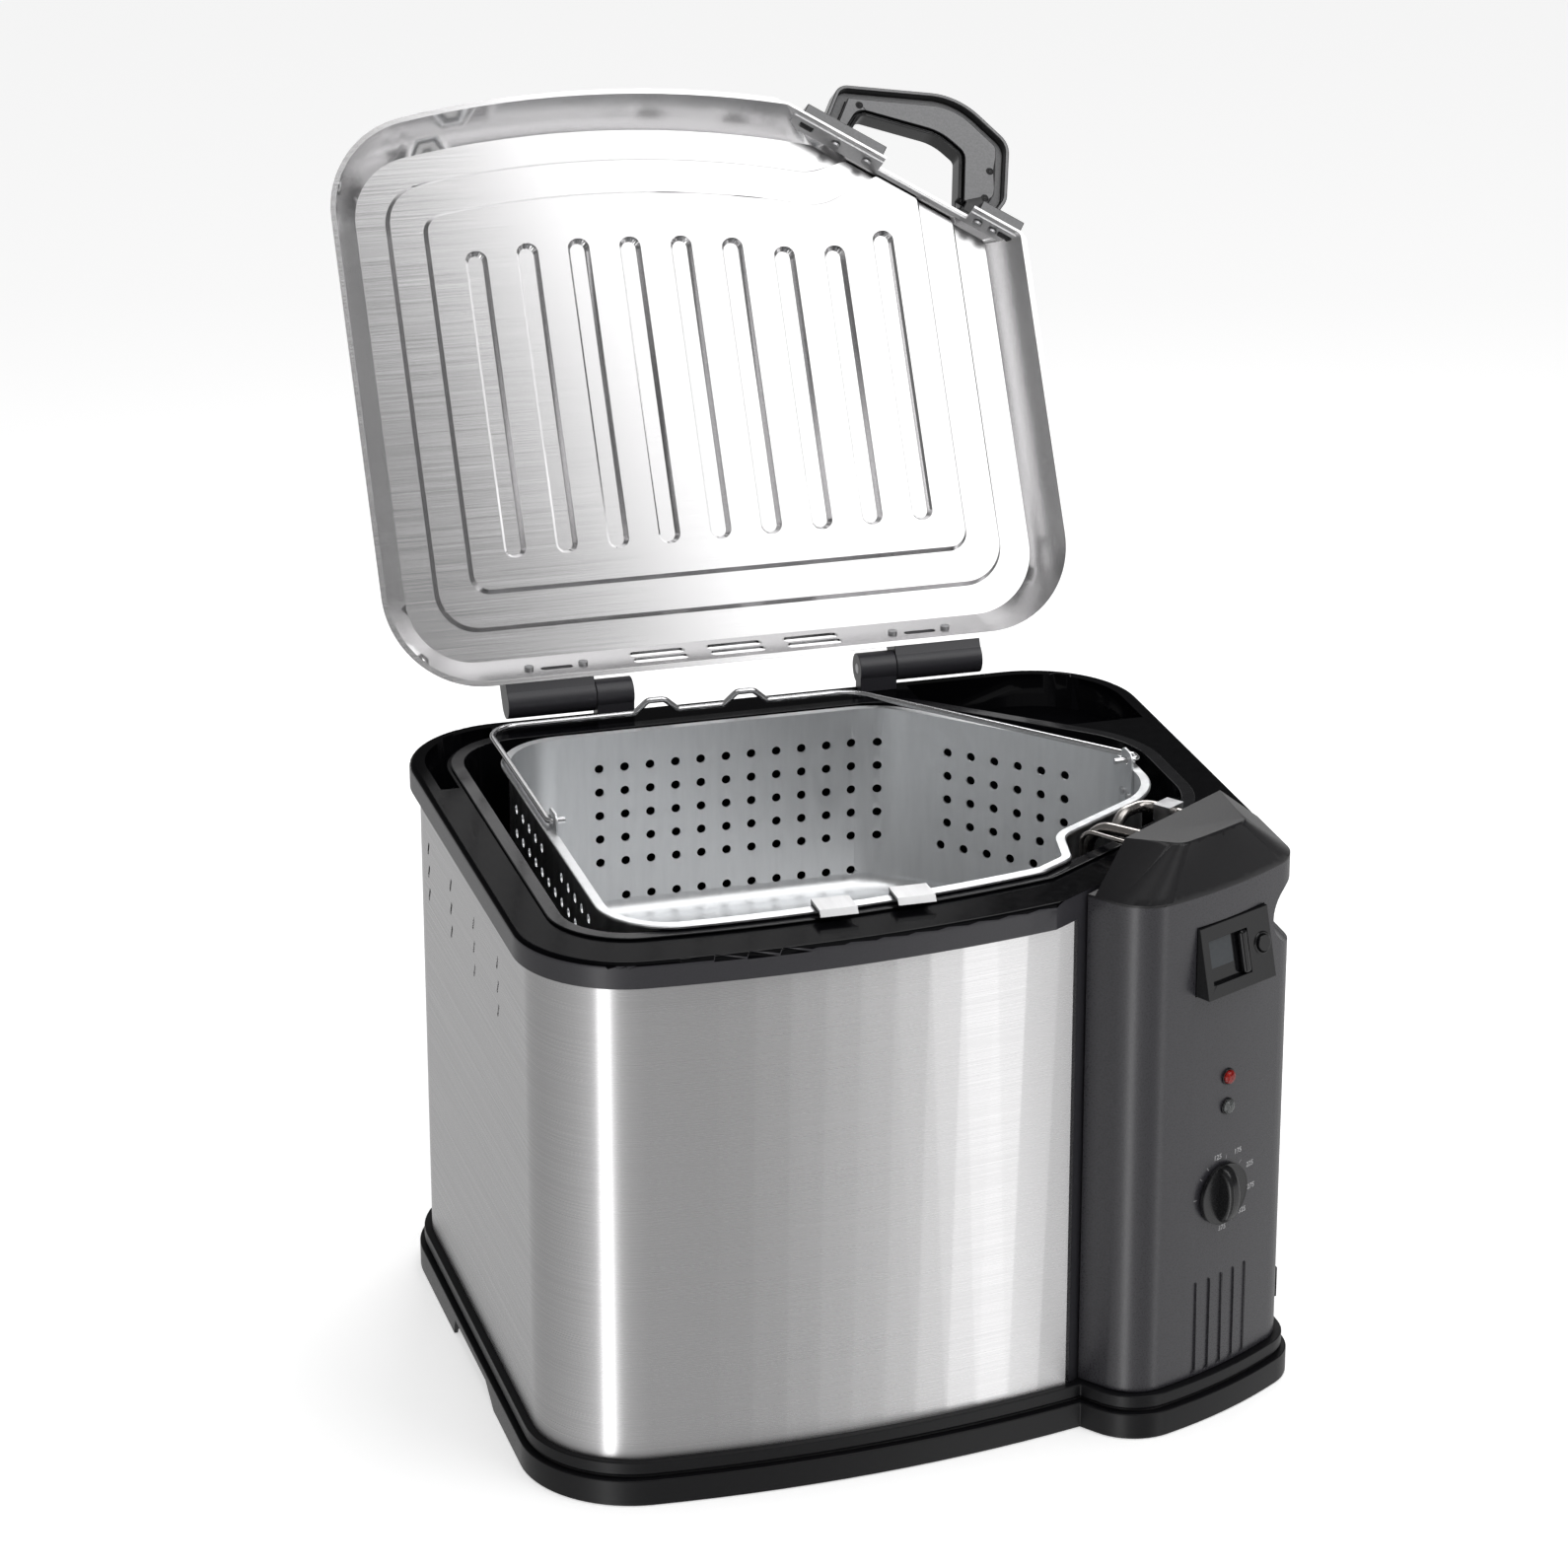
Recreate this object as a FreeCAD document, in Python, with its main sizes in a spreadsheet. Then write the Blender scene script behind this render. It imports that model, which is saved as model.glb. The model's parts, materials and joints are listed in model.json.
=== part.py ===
"""Deep fryer with a removable oil pot, a lift-out control tower, a fry basket and a hinged lid.

Millimetres. +X is the right side, -Y the front, +Z up. The origin lies on the floor, under the
middle of the steel body. The lid is modelled shut and turned open about its hinge axis.
"""
import FreeCAD, Part
import math
import os
from types import SimpleNamespace

import Sketcher
from FreeCAD import Placement, Rotation, Vector

# ---------------------------------------------------------------- driving sizes
SIZES = (
    # body
    ("body_width", 419.6, "steel wall, side to side"),
    ("body_depth", 357.2, "steel wall, bow of the front to the rear"),
    ("body_corner", 56, "radius of the body's upright corners"),
    ("bow_radius", 770, "radius of the bowed front"),
    ("bow_offset", 102, "top of the bow, left of the middle"),
    ("steel_wall", 1.0, "thickness of the steel wall"),
    ("base_rise", 24.6, "height of the base tray's upper edge"),
    ("rim_top", 313.5, "height of the top rim"),
    ("rim_band", 14.3, "height of the rim's outer band"),
    ("rim_overhang", 5.6, "rim beyond the steel wall"),
    ("rim_plate", 3.2, "thickness of the rim's top plate"),
    ("base_overhang", 7.3, "foot of the base tray beyond the steel wall"),
    ("tray_wall", 2.5, "wall of the base tray"),
    ("foot_gap", 3.0, "tray floor above the floor"),
    ("foot_diameter", 26, "rubber foot"),
    ("liner_gap", 9, "heat shield inside the steel wall"),
    ("liner_wall", 0.8, "thickness of the heat shield"),
    # front-right corner, where the tower stands
    ("cut_angle", 34, "direction of the corner cut, from the X axis"),
    ("cut_from_side", 145.4, "start of the corner cut, in from the right side"),
    ("cut_from_front", 17.5, "start of the corner cut, back from the front"),
    ("dock_line", 4.0, "inner face of the dock strip beyond the corner cut"),
    ("dock_wall", 3.0, "thickness of the dock strip"),
    ("dock_clearance", 1.6, "tower back to dock strip"),
    ("tower_reach", 45.0, "left corner of the tower's face beyond the corner cut"),
    ("tower_run", 25.4, "left corner of the tower's face along the corner cut"),
    ("tower_overhang", 6.0, "tower side beyond the steel wall"),
    ("tower_corner", 25, "radius of the tower's upright corners"),
    ("face_angle", 26.5, "the control face, turned from the front"),
    ("face_bulge", 6.0, "sagitta of the control face"),
    ("tower_wall", 2.6, "wall of the control housing"),
    ("tower_top", 310.6, "upper edge of the control housing"),
    ("cap_top", 340, "height of the cap's flat facet"),
    ("cap_wall", 2.6, "wall of the cap"),
    # oil pot
    ("pot_left", 15.8, "pot flange in from the left steel wall"),
    ("pot_right", 15.8, "pot flange in from the right steel wall"),
    ("pot_back", 20.6, "pot flange in from the rear steel wall"),
    ("pot_front", 24.1, "pot flange in from the front of the bow"),
    ("pot_chamfer_run", 115, "length of the pot's rear-right cut along the rear"),
    ("pot_chamfer_fall", 106, "length of the pot's rear-right cut along the side"),
    ("pot_to_cut", 15, "pot flange inside the corner cut"),
    ("pot_flange", 6.5, "width of the pot's flange"),
    ("pot_wall", 1.2, "pot wall"),
    ("pot_floor", 150, "underside of the pot"),
    ("pot_seat", 0.3, "flange above the rim"),
    # basket
    ("basket_left", 22.5, "basket wall to pot wall, left"),
    ("basket_right", 16.5, "basket wall to pot wall, right"),
    ("basket_back", 14.5, "basket wall to pot wall, rear"),
    ("basket_front", 1.6, "basket wall to pot wall, front"),
    ("basket_wall", 1.0, "basket sheet"),
    ("basket_depth", 111.5, "rim to underside of the basket"),
    ("basket_to_cut", 25, "front of the basket inside the corner cut"),
    ("basket_bay", 23, "depth of the basket's bay for the element"),
    ("basket_bay_start", 48, "start of the bay along the corner cut"),
    ("basket_roll", 2.4, "rolled edge of the basket, diameter"),
    ("hole_pitch", 15, "spacing of the basket's holes along a wall"),
    ("hole_row_pitch", 14.4, "spacing of the basket's rows of holes"),
    ("hole_first_row", 20.7, "first row of holes below the basket's rim"),
    ("hole_foot_row", 11.8, "row of holes at the foot, above the basket's underside"),
    ("hole_diameter", 5.2, "basket hole"),
    # bail
    ("bail_wire", 3.5, "wire of the bail"),
    ("bail_pivot_y", 5, "bail pivot, from the middle"),
    ("bail_pivot_rise", 6.0, "bail pivot above the pot's flange"),
    ("bail_hump", 7.0, "rise of the two humps in the bail"),
    # heating element
    ("element_tube", 6.6, "diameter of the heating tube"),
    ("element_rise", 9.5, "tube over the flange, centre above the rim"),
    ("strap_sheet", 1.0, "basket strap over the element"),
    ("strap_width", 12, "width of a basket strap"),
    # lid
    ("lid_side_left", 3.2, "lid edge beyond the left steel wall"),
    ("lid_side_right", 8.2, "lid edge inside the right steel wall"),
    ("lid_back", 9.3, "lid edge inside the rear steel wall"),
    ("lid_front", 2.2, "lid edge inside the front of the bow"),
    ("lid_bow_radius", 600, "radius of the lid's bowed front"),
    ("lid_bow_offset", 57, "top of the lid's bow, left of its middle"),
    ("lid_corner", 57, "radius of the lid's corners"),
    ("lid_height", 24.5, "height of the pressed lid"),
    ("lid_lip", 3.0, "flat lip round the lid"),
    ("lid_slope", 18.2, "lip edge to the foot of the sloping wall"),
    ("lid_band", 17.4, "flat band inside the sloping wall"),
    ("lid_terrace", 21.0, "second band"),
    ("lid_step", 3.8, "drop of each terrace"),
    ("lid_draft", 2.0, "lean of each terrace's wall"),
    ("lid_sheet", 1.2, "lid sheet"),
    ("lid_gap", 4.2, "lid lip above the rim"),
    ("rib_count", 9, "ribs across the lid"),
    ("rib_width", 13, "rib width"),
    ("rib_height", 4.5, "rib height"),
    ("handle_thick", 12.5, "thickness of the handle loop"),
    ("handle_tilt", 10, "handle loop leans up"),
    ("lid_open", 119.6, "opening angle of the lid"),
    # hinge
    ("hinge_back", 0.4, "hinge axis behind the rear steel wall"),
    ("hinge_rise", 12.2, "hinge axis above the rim"),
    ("pin_diameter", 6, "hinge pin"),
    ("pin_clearance", 0.4, "bore over the pin"),
    ("hinge_round", 9, "radius of knuckle and barrel"),
    ("knuckle_width", 22, "knuckle length"),
    ("barrel_length", 52, "barrel length"),
    ("hinge_span", 136, "between the two knuckles' inner faces"),
    ("hinge_offset", 5.5, "hinge pair left of the middle"),
    # controls
    ("knob_diameter", 37.4, "temperature knob"),
    ("knob_height", 9.5, "temperature knob, over its grip"),
    ("knob_skirt", 3.2, "thickness of the knob's round skirt"),
    ("knob_level", 131, "height of the knob's axis"),
    ("control_column", 60, "knob axis along the control face"),
    ("shaft_diameter", 6, "thermostat shaft"),
    ("lens_diameter", 8, "indicator lens"),
    ("ready_level", 182, "height of the lower lens"),
    ("power_level", 199.5, "height of the upper lens"),
    ("timer_width", 53, "timer window"),
    ("timer_height", 40, "timer window"),
    ("timer_level", 273.2, "height of the timer's middle"),
    ("timer_depth", 18, "timer case"),
    ("timer_tilt", 12, "timer face leans back"),
    ("timer_button", 9, "timer push button"),
    ("scoop_radius", 19, "finger scoop in the tower's side"),
    ("scoop_depth", 10, "finger scoop"),
    ("scoop_level", 280, "height of the finger scoop"),
    ("running_gap", 0.4, "clearance between parts that slide"),
    ("seat_gap", 0.3, "clearance where one part rests on another body"),
)

doc = FreeCAD.newDocument("deep_fryer")
sheet = doc.addObject("Spreadsheet::Sheet", "Sizes")
for row, (alias, amount, meaning) in enumerate(SIZES, start=1):
    sheet.set(f"A{row}", meaning)
    sheet.set(f"B{row}", str(amount))
    sheet.setAlias(f"B{row}", alias)
doc.recompute()
s = SimpleNamespace(**{alias: float(sheet.get(alias)) for alias, _, _ in SIZES})

# ---------------------------------------------------------------- places worked out from the sizes
X, Y, Z = Vector(1, 0, 0), Vector(0, 1, 0), Vector(0, 0, 1)
side = s.body_width / 2
back = s.body_depth / 2
front = -s.body_depth / 2
base_top = s.base_rise
wall_top = s.rim_top - s.rim_plate
flange_top = s.rim_top + s.pot_seat + s.pot_wall
lip_level = s.rim_top + s.lid_gap
hinge_y = back + s.hinge_back
hinge_z = s.rim_top + s.hinge_rise
tube_level = s.rim_top + s.element_rise

cut_start = Vector(side - s.cut_from_side, front + s.cut_from_front, 0)
cut_frame = Placement(cut_start, Rotation(Z, s.cut_angle))
hinge_point = Vector(0, hinge_y, hinge_z)
lid_pose = Placement(Vector(0, 0, 0), Rotation(X, -s.lid_open), hinge_point)


def at_cut(along, out, level=0):
    """Point given along the corner cut, outwards from it, and by height."""
    return cut_frame.multVec(Vector(along, -out, level))


def bow_y(x, inset, radius=None, apex=None):
    """Y of the bowed front at x, for a front that lies inset behind the steel's."""
    radius = radius or s.bow_radius
    apex = -s.bow_offset if apex is None else apex
    return front + inset + (x - apex) ** 2 / (2 * radius)


# ---------------------------------------------------------------- shape helpers
def outline(corners, radii, bulge=None):
    """Closed flat wire: corners rounded by radii; bulge gives an edge's sagitta, outwards."""
    bulge = bulge or {}
    edges = []
    for index, start in enumerate(corners):
        end = corners[(index + 1) % len(corners)]
        if index in bulge:
            outward = (end - start).cross(Z).normalize()
            edges.append(Part.Arc(start, (start + end) / 2 + outward * bulge[index], end).toShape())
        else:
            edges.append(Part.makeLine(start, end))
    slab = Part.Face(Part.Wire(edges)).extrude(Z)
    for corner, radius in zip(corners, fitted_radii(corners, radii)):
        if radius:
            upright = [e for e in slab.Edges if stands_at(e, corner)]
            slab = slab.makeFillet(radius, upright)
    return next(f for f in slab.Faces if f.BoundBox.ZMax < 1e-6).OuterWire


def fitted_radii(corners, radii):
    """The radii, made smaller where two neighbours would meet on a short edge."""
    fitted = list(radii)
    after = corners[1:] + corners[:1]
    before = corners[-1:] + corners[:-1]
    setback = [math.tan((c - b).getAngle(a - c) / 2) for b, c, a in zip(before, corners, after)]
    for index, corner in enumerate(corners):
        following = (index + 1) % len(corners)
        length = (corners[following] - corner).Length
        used = fitted[index] * setback[index] + fitted[following] * setback[following]
        if used > 0.998 * length:
            fitted[index] *= 0.95 * length / used
            fitted[following] *= 0.95 * length / used
    return fitted


def stands_at(edge, corner):
    """True for an upright edge over the corner."""
    return all(math.hypot(v.X - corner.x, v.Y - corner.y) < 1e-4 for v in edge.Vertexes)


def sagitta(start, end, radius):
    """Rise of an arc of this radius over the chord."""
    half = (end - start).Length / 2
    return radius - math.sqrt(radius ** 2 - half ** 2)


def grown(wire, distance):
    """The wire offset outwards, or inwards when distance is negative."""
    return wire.makeOffset2D(distance, 2) if distance else wire


def prism(wire, bottom, top):
    """Solid between two heights over a flat wire drawn at height 0."""
    face = Part.Face(wire.copy())
    face.translate(Vector(0, 0, bottom))
    return face.extrude(Vector(0, 0, top - bottom))


def ring(outer, inner, bottom, top):
    """Wall between two outlines."""
    return prism(outer, bottom, top).cut(prism(inner, bottom - 1, top + 1))


def raised(wire, level):
    """The wire, lifted."""
    lifted = wire.copy()
    lifted.translate(Vector(0, 0, level))
    return lifted


def beyond_cut(out, bottom=-10, top=500):
    """Everything further out than this at the front-right corner."""
    reach = 2 * s.body_width
    box = Part.makeBox(2 * reach, reach, top - bottom, Vector(-reach, -out - reach, bottom))
    box.Placement = cut_frame
    return box


def slot_prism(length, width, height):
    """Upright slot with round ends, centred on the origin, long way along X."""
    half = (length - width) / 2
    wire = outline([Vector(-half - width / 2, -width / 2, 0), Vector(half + width / 2, -width / 2, 0),
                    Vector(half + width / 2, width / 2, 0), Vector(-half - width / 2, width / 2, 0)],
                   [width / 2 - 0.01] * 4)
    return prism(wire, 0, height)


def tube(path, diameter):
    """Round bar along a wire."""
    heading = path.Edges[0].tangentAt(path.Edges[0].FirstParameter)
    ring_edge = Part.makeCircle(diameter / 2, path.Edges[0].Vertexes[0].Point, heading)
    shell = Part.BRepOffsetAPI.MakePipeShell(path)
    shell.add(Part.Wire(ring_edge))
    shell.build()
    shell.makeSolid()
    return shell.shape()


def named(name, shape, placement=None):
    """A sub-part whose shape is worked out from the sheet."""
    part = doc.addObject("Part::Feature", name)
    part.Label = name
    part.Shape = shape.removeSplitter() if len(shape.Solids) == 1 else shape
    if placement:
        part.Placement = placement
    parts.append(part)
    return part


def placed(shape, placement):
    """A copy of the shape, moved by the placement."""
    moved = shape.copy()
    moved.Placement = placement.multiply(moved.Placement)
    return moved


parts = []


# ---------------------------------------------------------------- outlines seen from above
def body_outline():
    """Steel wall, outer face, as if the front-right corner were whole."""
    left_front = Vector(-side, bow_y(-side, 0), 0)
    right_front = Vector(side, bow_y(side, 0), 0)
    corners = [left_front, right_front, Vector(side, back, 0), Vector(-side, back, 0)]
    bow = {0: sagitta(left_front, right_front, s.bow_radius)}
    return outline(corners, [s.body_corner] * 4, bow)


def tower_outline():
    """Control tower, outer face."""
    face_turn = math.radians(s.face_angle)
    left_back = at_cut(s.tower_run - 0.7, dock_back)
    left_front = at_cut(s.tower_run, s.tower_reach)
    tower_side = side + s.tower_overhang
    run = (tower_side - left_front.x) / math.cos(face_turn)
    right_front = left_front + Vector(math.cos(face_turn), math.sin(face_turn), 0) * run
    dock_run = (tower_side - at_cut(0, dock_back).x) / math.cos(math.radians(s.cut_angle))
    right_back = at_cut(dock_run, dock_back)
    corners = [left_back, left_front, right_front, right_back]
    return outline(corners, [0, s.tower_corner, s.tower_corner, 3], {1: s.face_bulge}), left_front


def bow_crossing(start, inset, radius=None, apex=None):
    """Where the line from start, along the corner cut, meets a bowed front."""
    direction = Vector(math.cos(math.radians(s.cut_angle)), math.sin(math.radians(s.cut_angle)), 0)
    low, high = -s.body_width, s.body_width
    for _ in range(60):
        middle = (low + high) / 2
        point = start + direction * middle
        if point.y < bow_y(point.x, inset, radius, apex):
            low = middle
        else:
            high = middle
    return start + direction * low


def cut_meets(x, out):
    """Where the line at this distance out from the corner cut reaches x."""
    start = at_cut(0, out)
    return at_cut((x - start.x) / math.cos(math.radians(s.cut_angle)), out)


def pot_outline():
    """Pot flange, outer edge."""
    left, right = -side + s.pot_left, side - s.pot_right
    rear = back - s.pot_back
    side_point = cut_meets(right, -s.pot_to_cut)
    front_point = bow_crossing(side_point, s.pot_front)
    left_front = Vector(left, bow_y(left, s.pot_front), 0)
    corners = [left_front, front_point, side_point, Vector(right, rear - s.pot_chamfer_fall, 0),
               Vector(right - s.pot_chamfer_run, rear, 0), Vector(left, rear, 0)]
    radii = [45, 12, 60, 70, 60, 45]
    return outline(corners, radii, {0: sagitta(left_front, front_point, s.bow_radius)})


def basket_corners():
    """Corners of the basket's wall, before they are rounded."""
    box = pot_inner.BoundBox
    left, right = box.XMin + s.basket_left, box.XMax - s.basket_right
    rear = box.YMax - s.basket_back
    inset = s.pot_front + s.pot_flange + s.pot_wall + s.basket_front
    left_front = Vector(left, bow_y(left, inset), 0)
    bay = s.basket_to_cut + s.basket_bay
    front_point = bow_crossing(at_cut(0, -s.basket_to_cut), inset)
    bay_front = at_cut(s.basket_bay_start, -s.basket_to_cut)
    bay_back = at_cut(s.basket_bay_start + s.basket_bay, -bay)
    side_point = cut_meets(right, -bay)
    chamfer_run, chamfer_fall = s.pot_chamfer_run - 10, s.pot_chamfer_fall
    return [left_front, front_point, bay_front, bay_back, side_point,
            Vector(right, rear - chamfer_fall, 0), Vector(right - chamfer_run, rear, 0),
            Vector(left, rear, 0)]


def basket_outline():
    """Basket wall, outer face, with the bay for the heating element."""
    corners = basket_corners()
    radii = [36, 6, 8, 22, 45, 30, 45, 36]
    return outline(corners, radii, {0: sagitta(corners[0], corners[1], s.bow_radius)})


def lid_sides(inset):
    """Left, right, rear and front inset of the lid's edge, and the top of its bow."""
    left, right = -side - s.lid_side_left, side - s.lid_side_right
    apex = (left + right) / 2 - s.lid_bow_offset
    return left + inset, right - inset, back - s.lid_back - inset, s.lid_front + inset, apex


def lid_outline(inset, cut_inset, corner):
    """Lid edge, moved inwards; the edge at the corner cut moves by its own amount."""
    left, right, rear, front_inset, apex = lid_sides(inset)
    side_point = cut_meets(right, -cut_inset)
    front_point = bow_crossing(side_point, front_inset, s.lid_bow_radius, apex)
    left_front = Vector(left, bow_y(left, front_inset, s.lid_bow_radius, apex), 0)
    corners = [left_front, front_point, side_point, Vector(right, rear, 0), Vector(left, rear, 0)]
    radii = [corner, 4, 4, corner, corner]
    return outline(corners, radii, {0: sagitta(left_front, front_point, s.lid_bow_radius)})


def terrace_outline(inset, corner, flare_start, flare_end, cut_inset):
    """Edge of a pressed step: its front flares out to the wall at the corner cut."""
    left, right, rear, front_inset, apex = lid_sides(inset)
    turn_x = cut_start.x + flare_start
    turn = Vector(turn_x, bow_y(turn_x, front_inset, s.lid_bow_radius, apex), 0)
    left_front = Vector(left, bow_y(left, front_inset, s.lid_bow_radius, apex), 0)
    corners = [left_front, turn, at_cut(flare_end, -cut_inset), cut_meets(right, -cut_inset),
               Vector(right, rear, 0), Vector(left, rear, 0)]
    radii = [corner, 30, 3, 4, corner, corner]
    return outline(corners, radii, {0: sagitta(left_front, turn, s.lid_bow_radius)})


dock_back = s.dock_line + s.dock_wall + s.dock_clearance
steel_plan = body_outline()
tower_plan, face_corner = tower_outline()
face_frame = Placement(face_corner, Rotation(Z, s.face_angle).multiply(Rotation(X, 90)))
pot_flange_plan = pot_outline()
pot_outer = grown(pot_flange_plan, -s.pot_flange)
pot_inner = grown(pot_outer, -s.pot_wall)
basket_plan = basket_outline()
inside_dock = s.dock_line + s.dock_wall
basket_rim = flange_top + s.seat_gap + s.basket_roll
bail_level = flange_top + s.bail_pivot_rise
ear_sheet, ear_width, ear_below = 1.4, 17, 28


# ---------------------------------------------------------------- PartDesign helpers
def new_body(name):
    """Body that ends as one sub-part."""
    body = doc.addObject("PartDesign::Body", name)
    body.Label = name
    parts.append(body)
    return body


def sketch_on(body, name, role, offset=None):
    """Empty sketch on one of the body's origin planes; offset is an expression along its normal."""
    sketch = body.newObject("Sketcher::SketchObject", name)
    plane = next(p for p in body.Origin.OriginFeatures if p.Role == role)
    sketch.AttachmentSupport = [(plane, "")]
    sketch.MapMode = "FlatFace"
    if offset:
        sketch.setExpression("AttachmentOffset.Base.z", offset)
    return sketch


def add_circle(sketch, diameter, x=0.0, y=0.0):
    """Circle whose diameter follows an expression."""
    index = sketch.addGeometry(Part.Circle(Vector(x, y, 0), Z, 1), False)
    sketch.addConstraint(Sketcher.Constraint("DistanceX", -1, 1, index, 3, x))
    sketch.addConstraint(Sketcher.Constraint("DistanceY", -1, 1, index, 3, y))
    number = sketch.addConstraint(Sketcher.Constraint("Diameter", index, 2.0))
    sketch.setExpression(f"Constraints[{number}]", diameter)


def add_polygon(sketch, points):
    """Closed run of lines through (x, y) points."""
    first = sketch.GeometryCount
    for (x0, y0), (x1, y1) in zip(points, points[1:] + points[:1]):
        sketch.addGeometry(Part.LineSegment(Vector(x0, y0, 0), Vector(x1, y1, 0)), False)
    for index in range(len(points)):
        following = first + (index + 1) % len(points)
        sketch.addConstraint(Sketcher.Constraint("Coincident", first + index, 2, following, 1))
        sketch.addConstraint(Sketcher.Constraint("Block", first + index))


def pad(body, sketch, length, reverse=False):
    """Pad whose length follows an expression."""
    feature = body.newObject("PartDesign::Pad", sketch.Name + "_pad")
    feature.Profile = sketch
    feature.setExpression("Length", length)
    feature.Reversed = reverse
    body.Tip = feature
    return feature


def pocket(body, sketch, length, reverse=False):
    """Pocket whose depth follows an expression."""
    feature = body.newObject("PartDesign::Pocket", sketch.Name + "_pocket")
    feature.Profile = sketch
    feature.setExpression("Length", length)
    feature.Reversed = reverse
    body.Tip = feature
    return feature


def turned(body, name, points):
    """Revolution about the body's Z axis of (radius, height) points."""
    sketch = sketch_on(body, name, "XZ_Plane")
    add_polygon(sketch, points)
    feature = body.newObject("PartDesign::Revolution", name + "_turned")
    feature.Profile = sketch
    feature.ReferenceAxis = (next(a for a in body.Origin.OriginFeatures if a.Role == "Z_Axis"), [""])
    feature.Angle = 360
    body.Tip = feature
    return feature


# ---------------------------------------------------------------- body: tray, wall, rim
def plan_with_tower(distance, bottom, top):
    """Footprint of steel wall and tower together, grown by a distance."""
    return prism(grown(steel_plan, distance), bottom, top).fuse(
        prism(grown(tower_plan, distance), bottom, top))


def base_tray():
    """Stepped tray: foot, groove and collar, open above for the wall, its left edge raised as a grip."""
    foot_bottom = 0
    groove, collar = s.base_rise * 0.61, s.base_rise * 0.70
    collar_out, groove_out = s.base_overhang * 0.62, s.base_overhang * 0.35
    tray = plan_with_tower(s.base_overhang, foot_bottom, groove)
    tray = tray.fuse(plan_with_tower(groove_out, groove, collar))
    tray = tray.fuse(plan_with_tower(collar_out, collar, base_top))
    floor = s.foot_gap + s.tray_wall
    well = prism(steel_plan, floor, base_top + 1).cut(beyond_cut(inside_dock))
    under = prism(grown(steel_plan, s.base_overhang - s.tray_wall), -1, s.foot_gap)
    tower_under = prism(grown(tower_plan, -s.tray_wall), -1, base_top - s.tray_wall)
    tower_under = tower_under.common(beyond_cut(inside_dock + s.tray_wall))
    for x, y in foot_places():
        boss = Part.makeCylinder(s.foot_diameter / 2 + 2, base_top, Vector(x, y, s.foot_gap))
        tower_under = tower_under.cut(boss)
    tray = tray.cut(well).cut(under).cut(tower_under)
    grip = Part.makePolygon([Vector(0, -57, 0), Vector(0, -38, 9.5), Vector(0, 37, 9.5),
                             Vector(0, 41, 0), Vector(0, -57, 0)])
    cutter = Part.Face(grip).extrude(Vector(s.base_overhang - s.tray_wall + 1, 0, 0))
    cutter.translate(Vector(-side - s.base_overhang - 1, 0, -0.01))
    return named("base_tray", tray.cut(cutter))


def foot_places():
    """Centres of the four feet."""
    x, y = side - 42, back - 42
    return [(-x, -y + 4), (x, -y + 4), (-x, y), (x, y)]


def rubber_feet():
    """Four round feet with a recess for the screw."""
    body = new_body("rubber_feet")
    discs = sketch_on(body, "feet_discs", "XY_Plane")
    recesses = sketch_on(body, "feet_recesses", "XY_Plane")
    bores = sketch_on(body, "feet_bores", "XY_Plane")
    for x, y in foot_places():
        add_circle(discs, "Sizes.foot_diameter", x, y)
        add_circle(recesses, "Sizes.foot_diameter * 0.42", x, y)
        add_circle(bores, "Sizes.foot_diameter * 0.17", x, y)
    pad(body, discs, "Sizes.foot_gap")
    pocket(body, recesses, "Sizes.foot_gap * 0.6", True)
    pocket(body, bores, "Sizes.foot_gap * 2", True)


def base_screws():
    """Pan-head screws through the feet into the tray."""
    head_level = s.foot_gap * 0.6
    screws = []
    for x, y in foot_places():
        head = Part.makeCylinder(4, head_level - 0.5, Vector(x, y, 0.5))
        shank = Part.makeCylinder(s.foot_diameter * 0.085, s.foot_gap - head_level, Vector(x, y, head_level))
        screws.append(head.fuse(shank).removeSplitter())
    named("base_screws", Part.makeCompound(screws))


def louvre_places():
    """(y, z) of the louvres in a side wall: four columns of three."""
    first, pitch, fall = -60.0, 56.5, 13.9
    return [(first + pitch * column, s.rim_top - 43.7 - fall * row)
            for column in range(4) for row in range(3)]


def body_shell():
    """Brushed steel wall, open at the dock, with louvre slots in both sides."""
    floor = s.foot_gap + s.tray_wall
    wall = ring(steel_plan, grown(steel_plan, -s.steel_wall), floor, wall_top)
    behind_band = prism(grown(steel_plan, 1), s.rim_top - s.rim_band, wall_top + 1)
    wall = wall.cut(beyond_cut(inside_dock)).cut(behind_band.common(beyond_cut(s.dock_line)))
    slots = []
    for y, z in louvre_places():
        slot = slot_prism(9, 2.4, 4 * s.steel_wall)
        slot.rotate(Vector(0, 0, 0), Y, -90)
        slot.rotate(Vector(0, 0, 0), X, 25)
        for x in (-side + 2 * s.steel_wall, side + 2 * s.steel_wall):
            if x < 0 or y > -40:
                turned_slot = slot.copy()
                turned_slot.translate(Vector(x, y, z))
                slots.append(turned_slot)
    return named("body_shell", wall.cut(Part.makeCompound(slots)))


def shell_liner():
    """Heat shield between the pot and the steel wall."""
    floor = s.foot_gap + s.tray_wall
    top = s.rim_top - 28
    outer = prism(grown(steel_plan, -s.liner_gap), floor, top).cut(beyond_cut(-1))
    inner = prism(grown(steel_plan, -s.liner_gap - s.liner_wall), floor - 1, top + 1)
    inner = inner.cut(beyond_cut(-1 - s.liner_wall))
    return named("shell_liner", outer.cut(inner))


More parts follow.
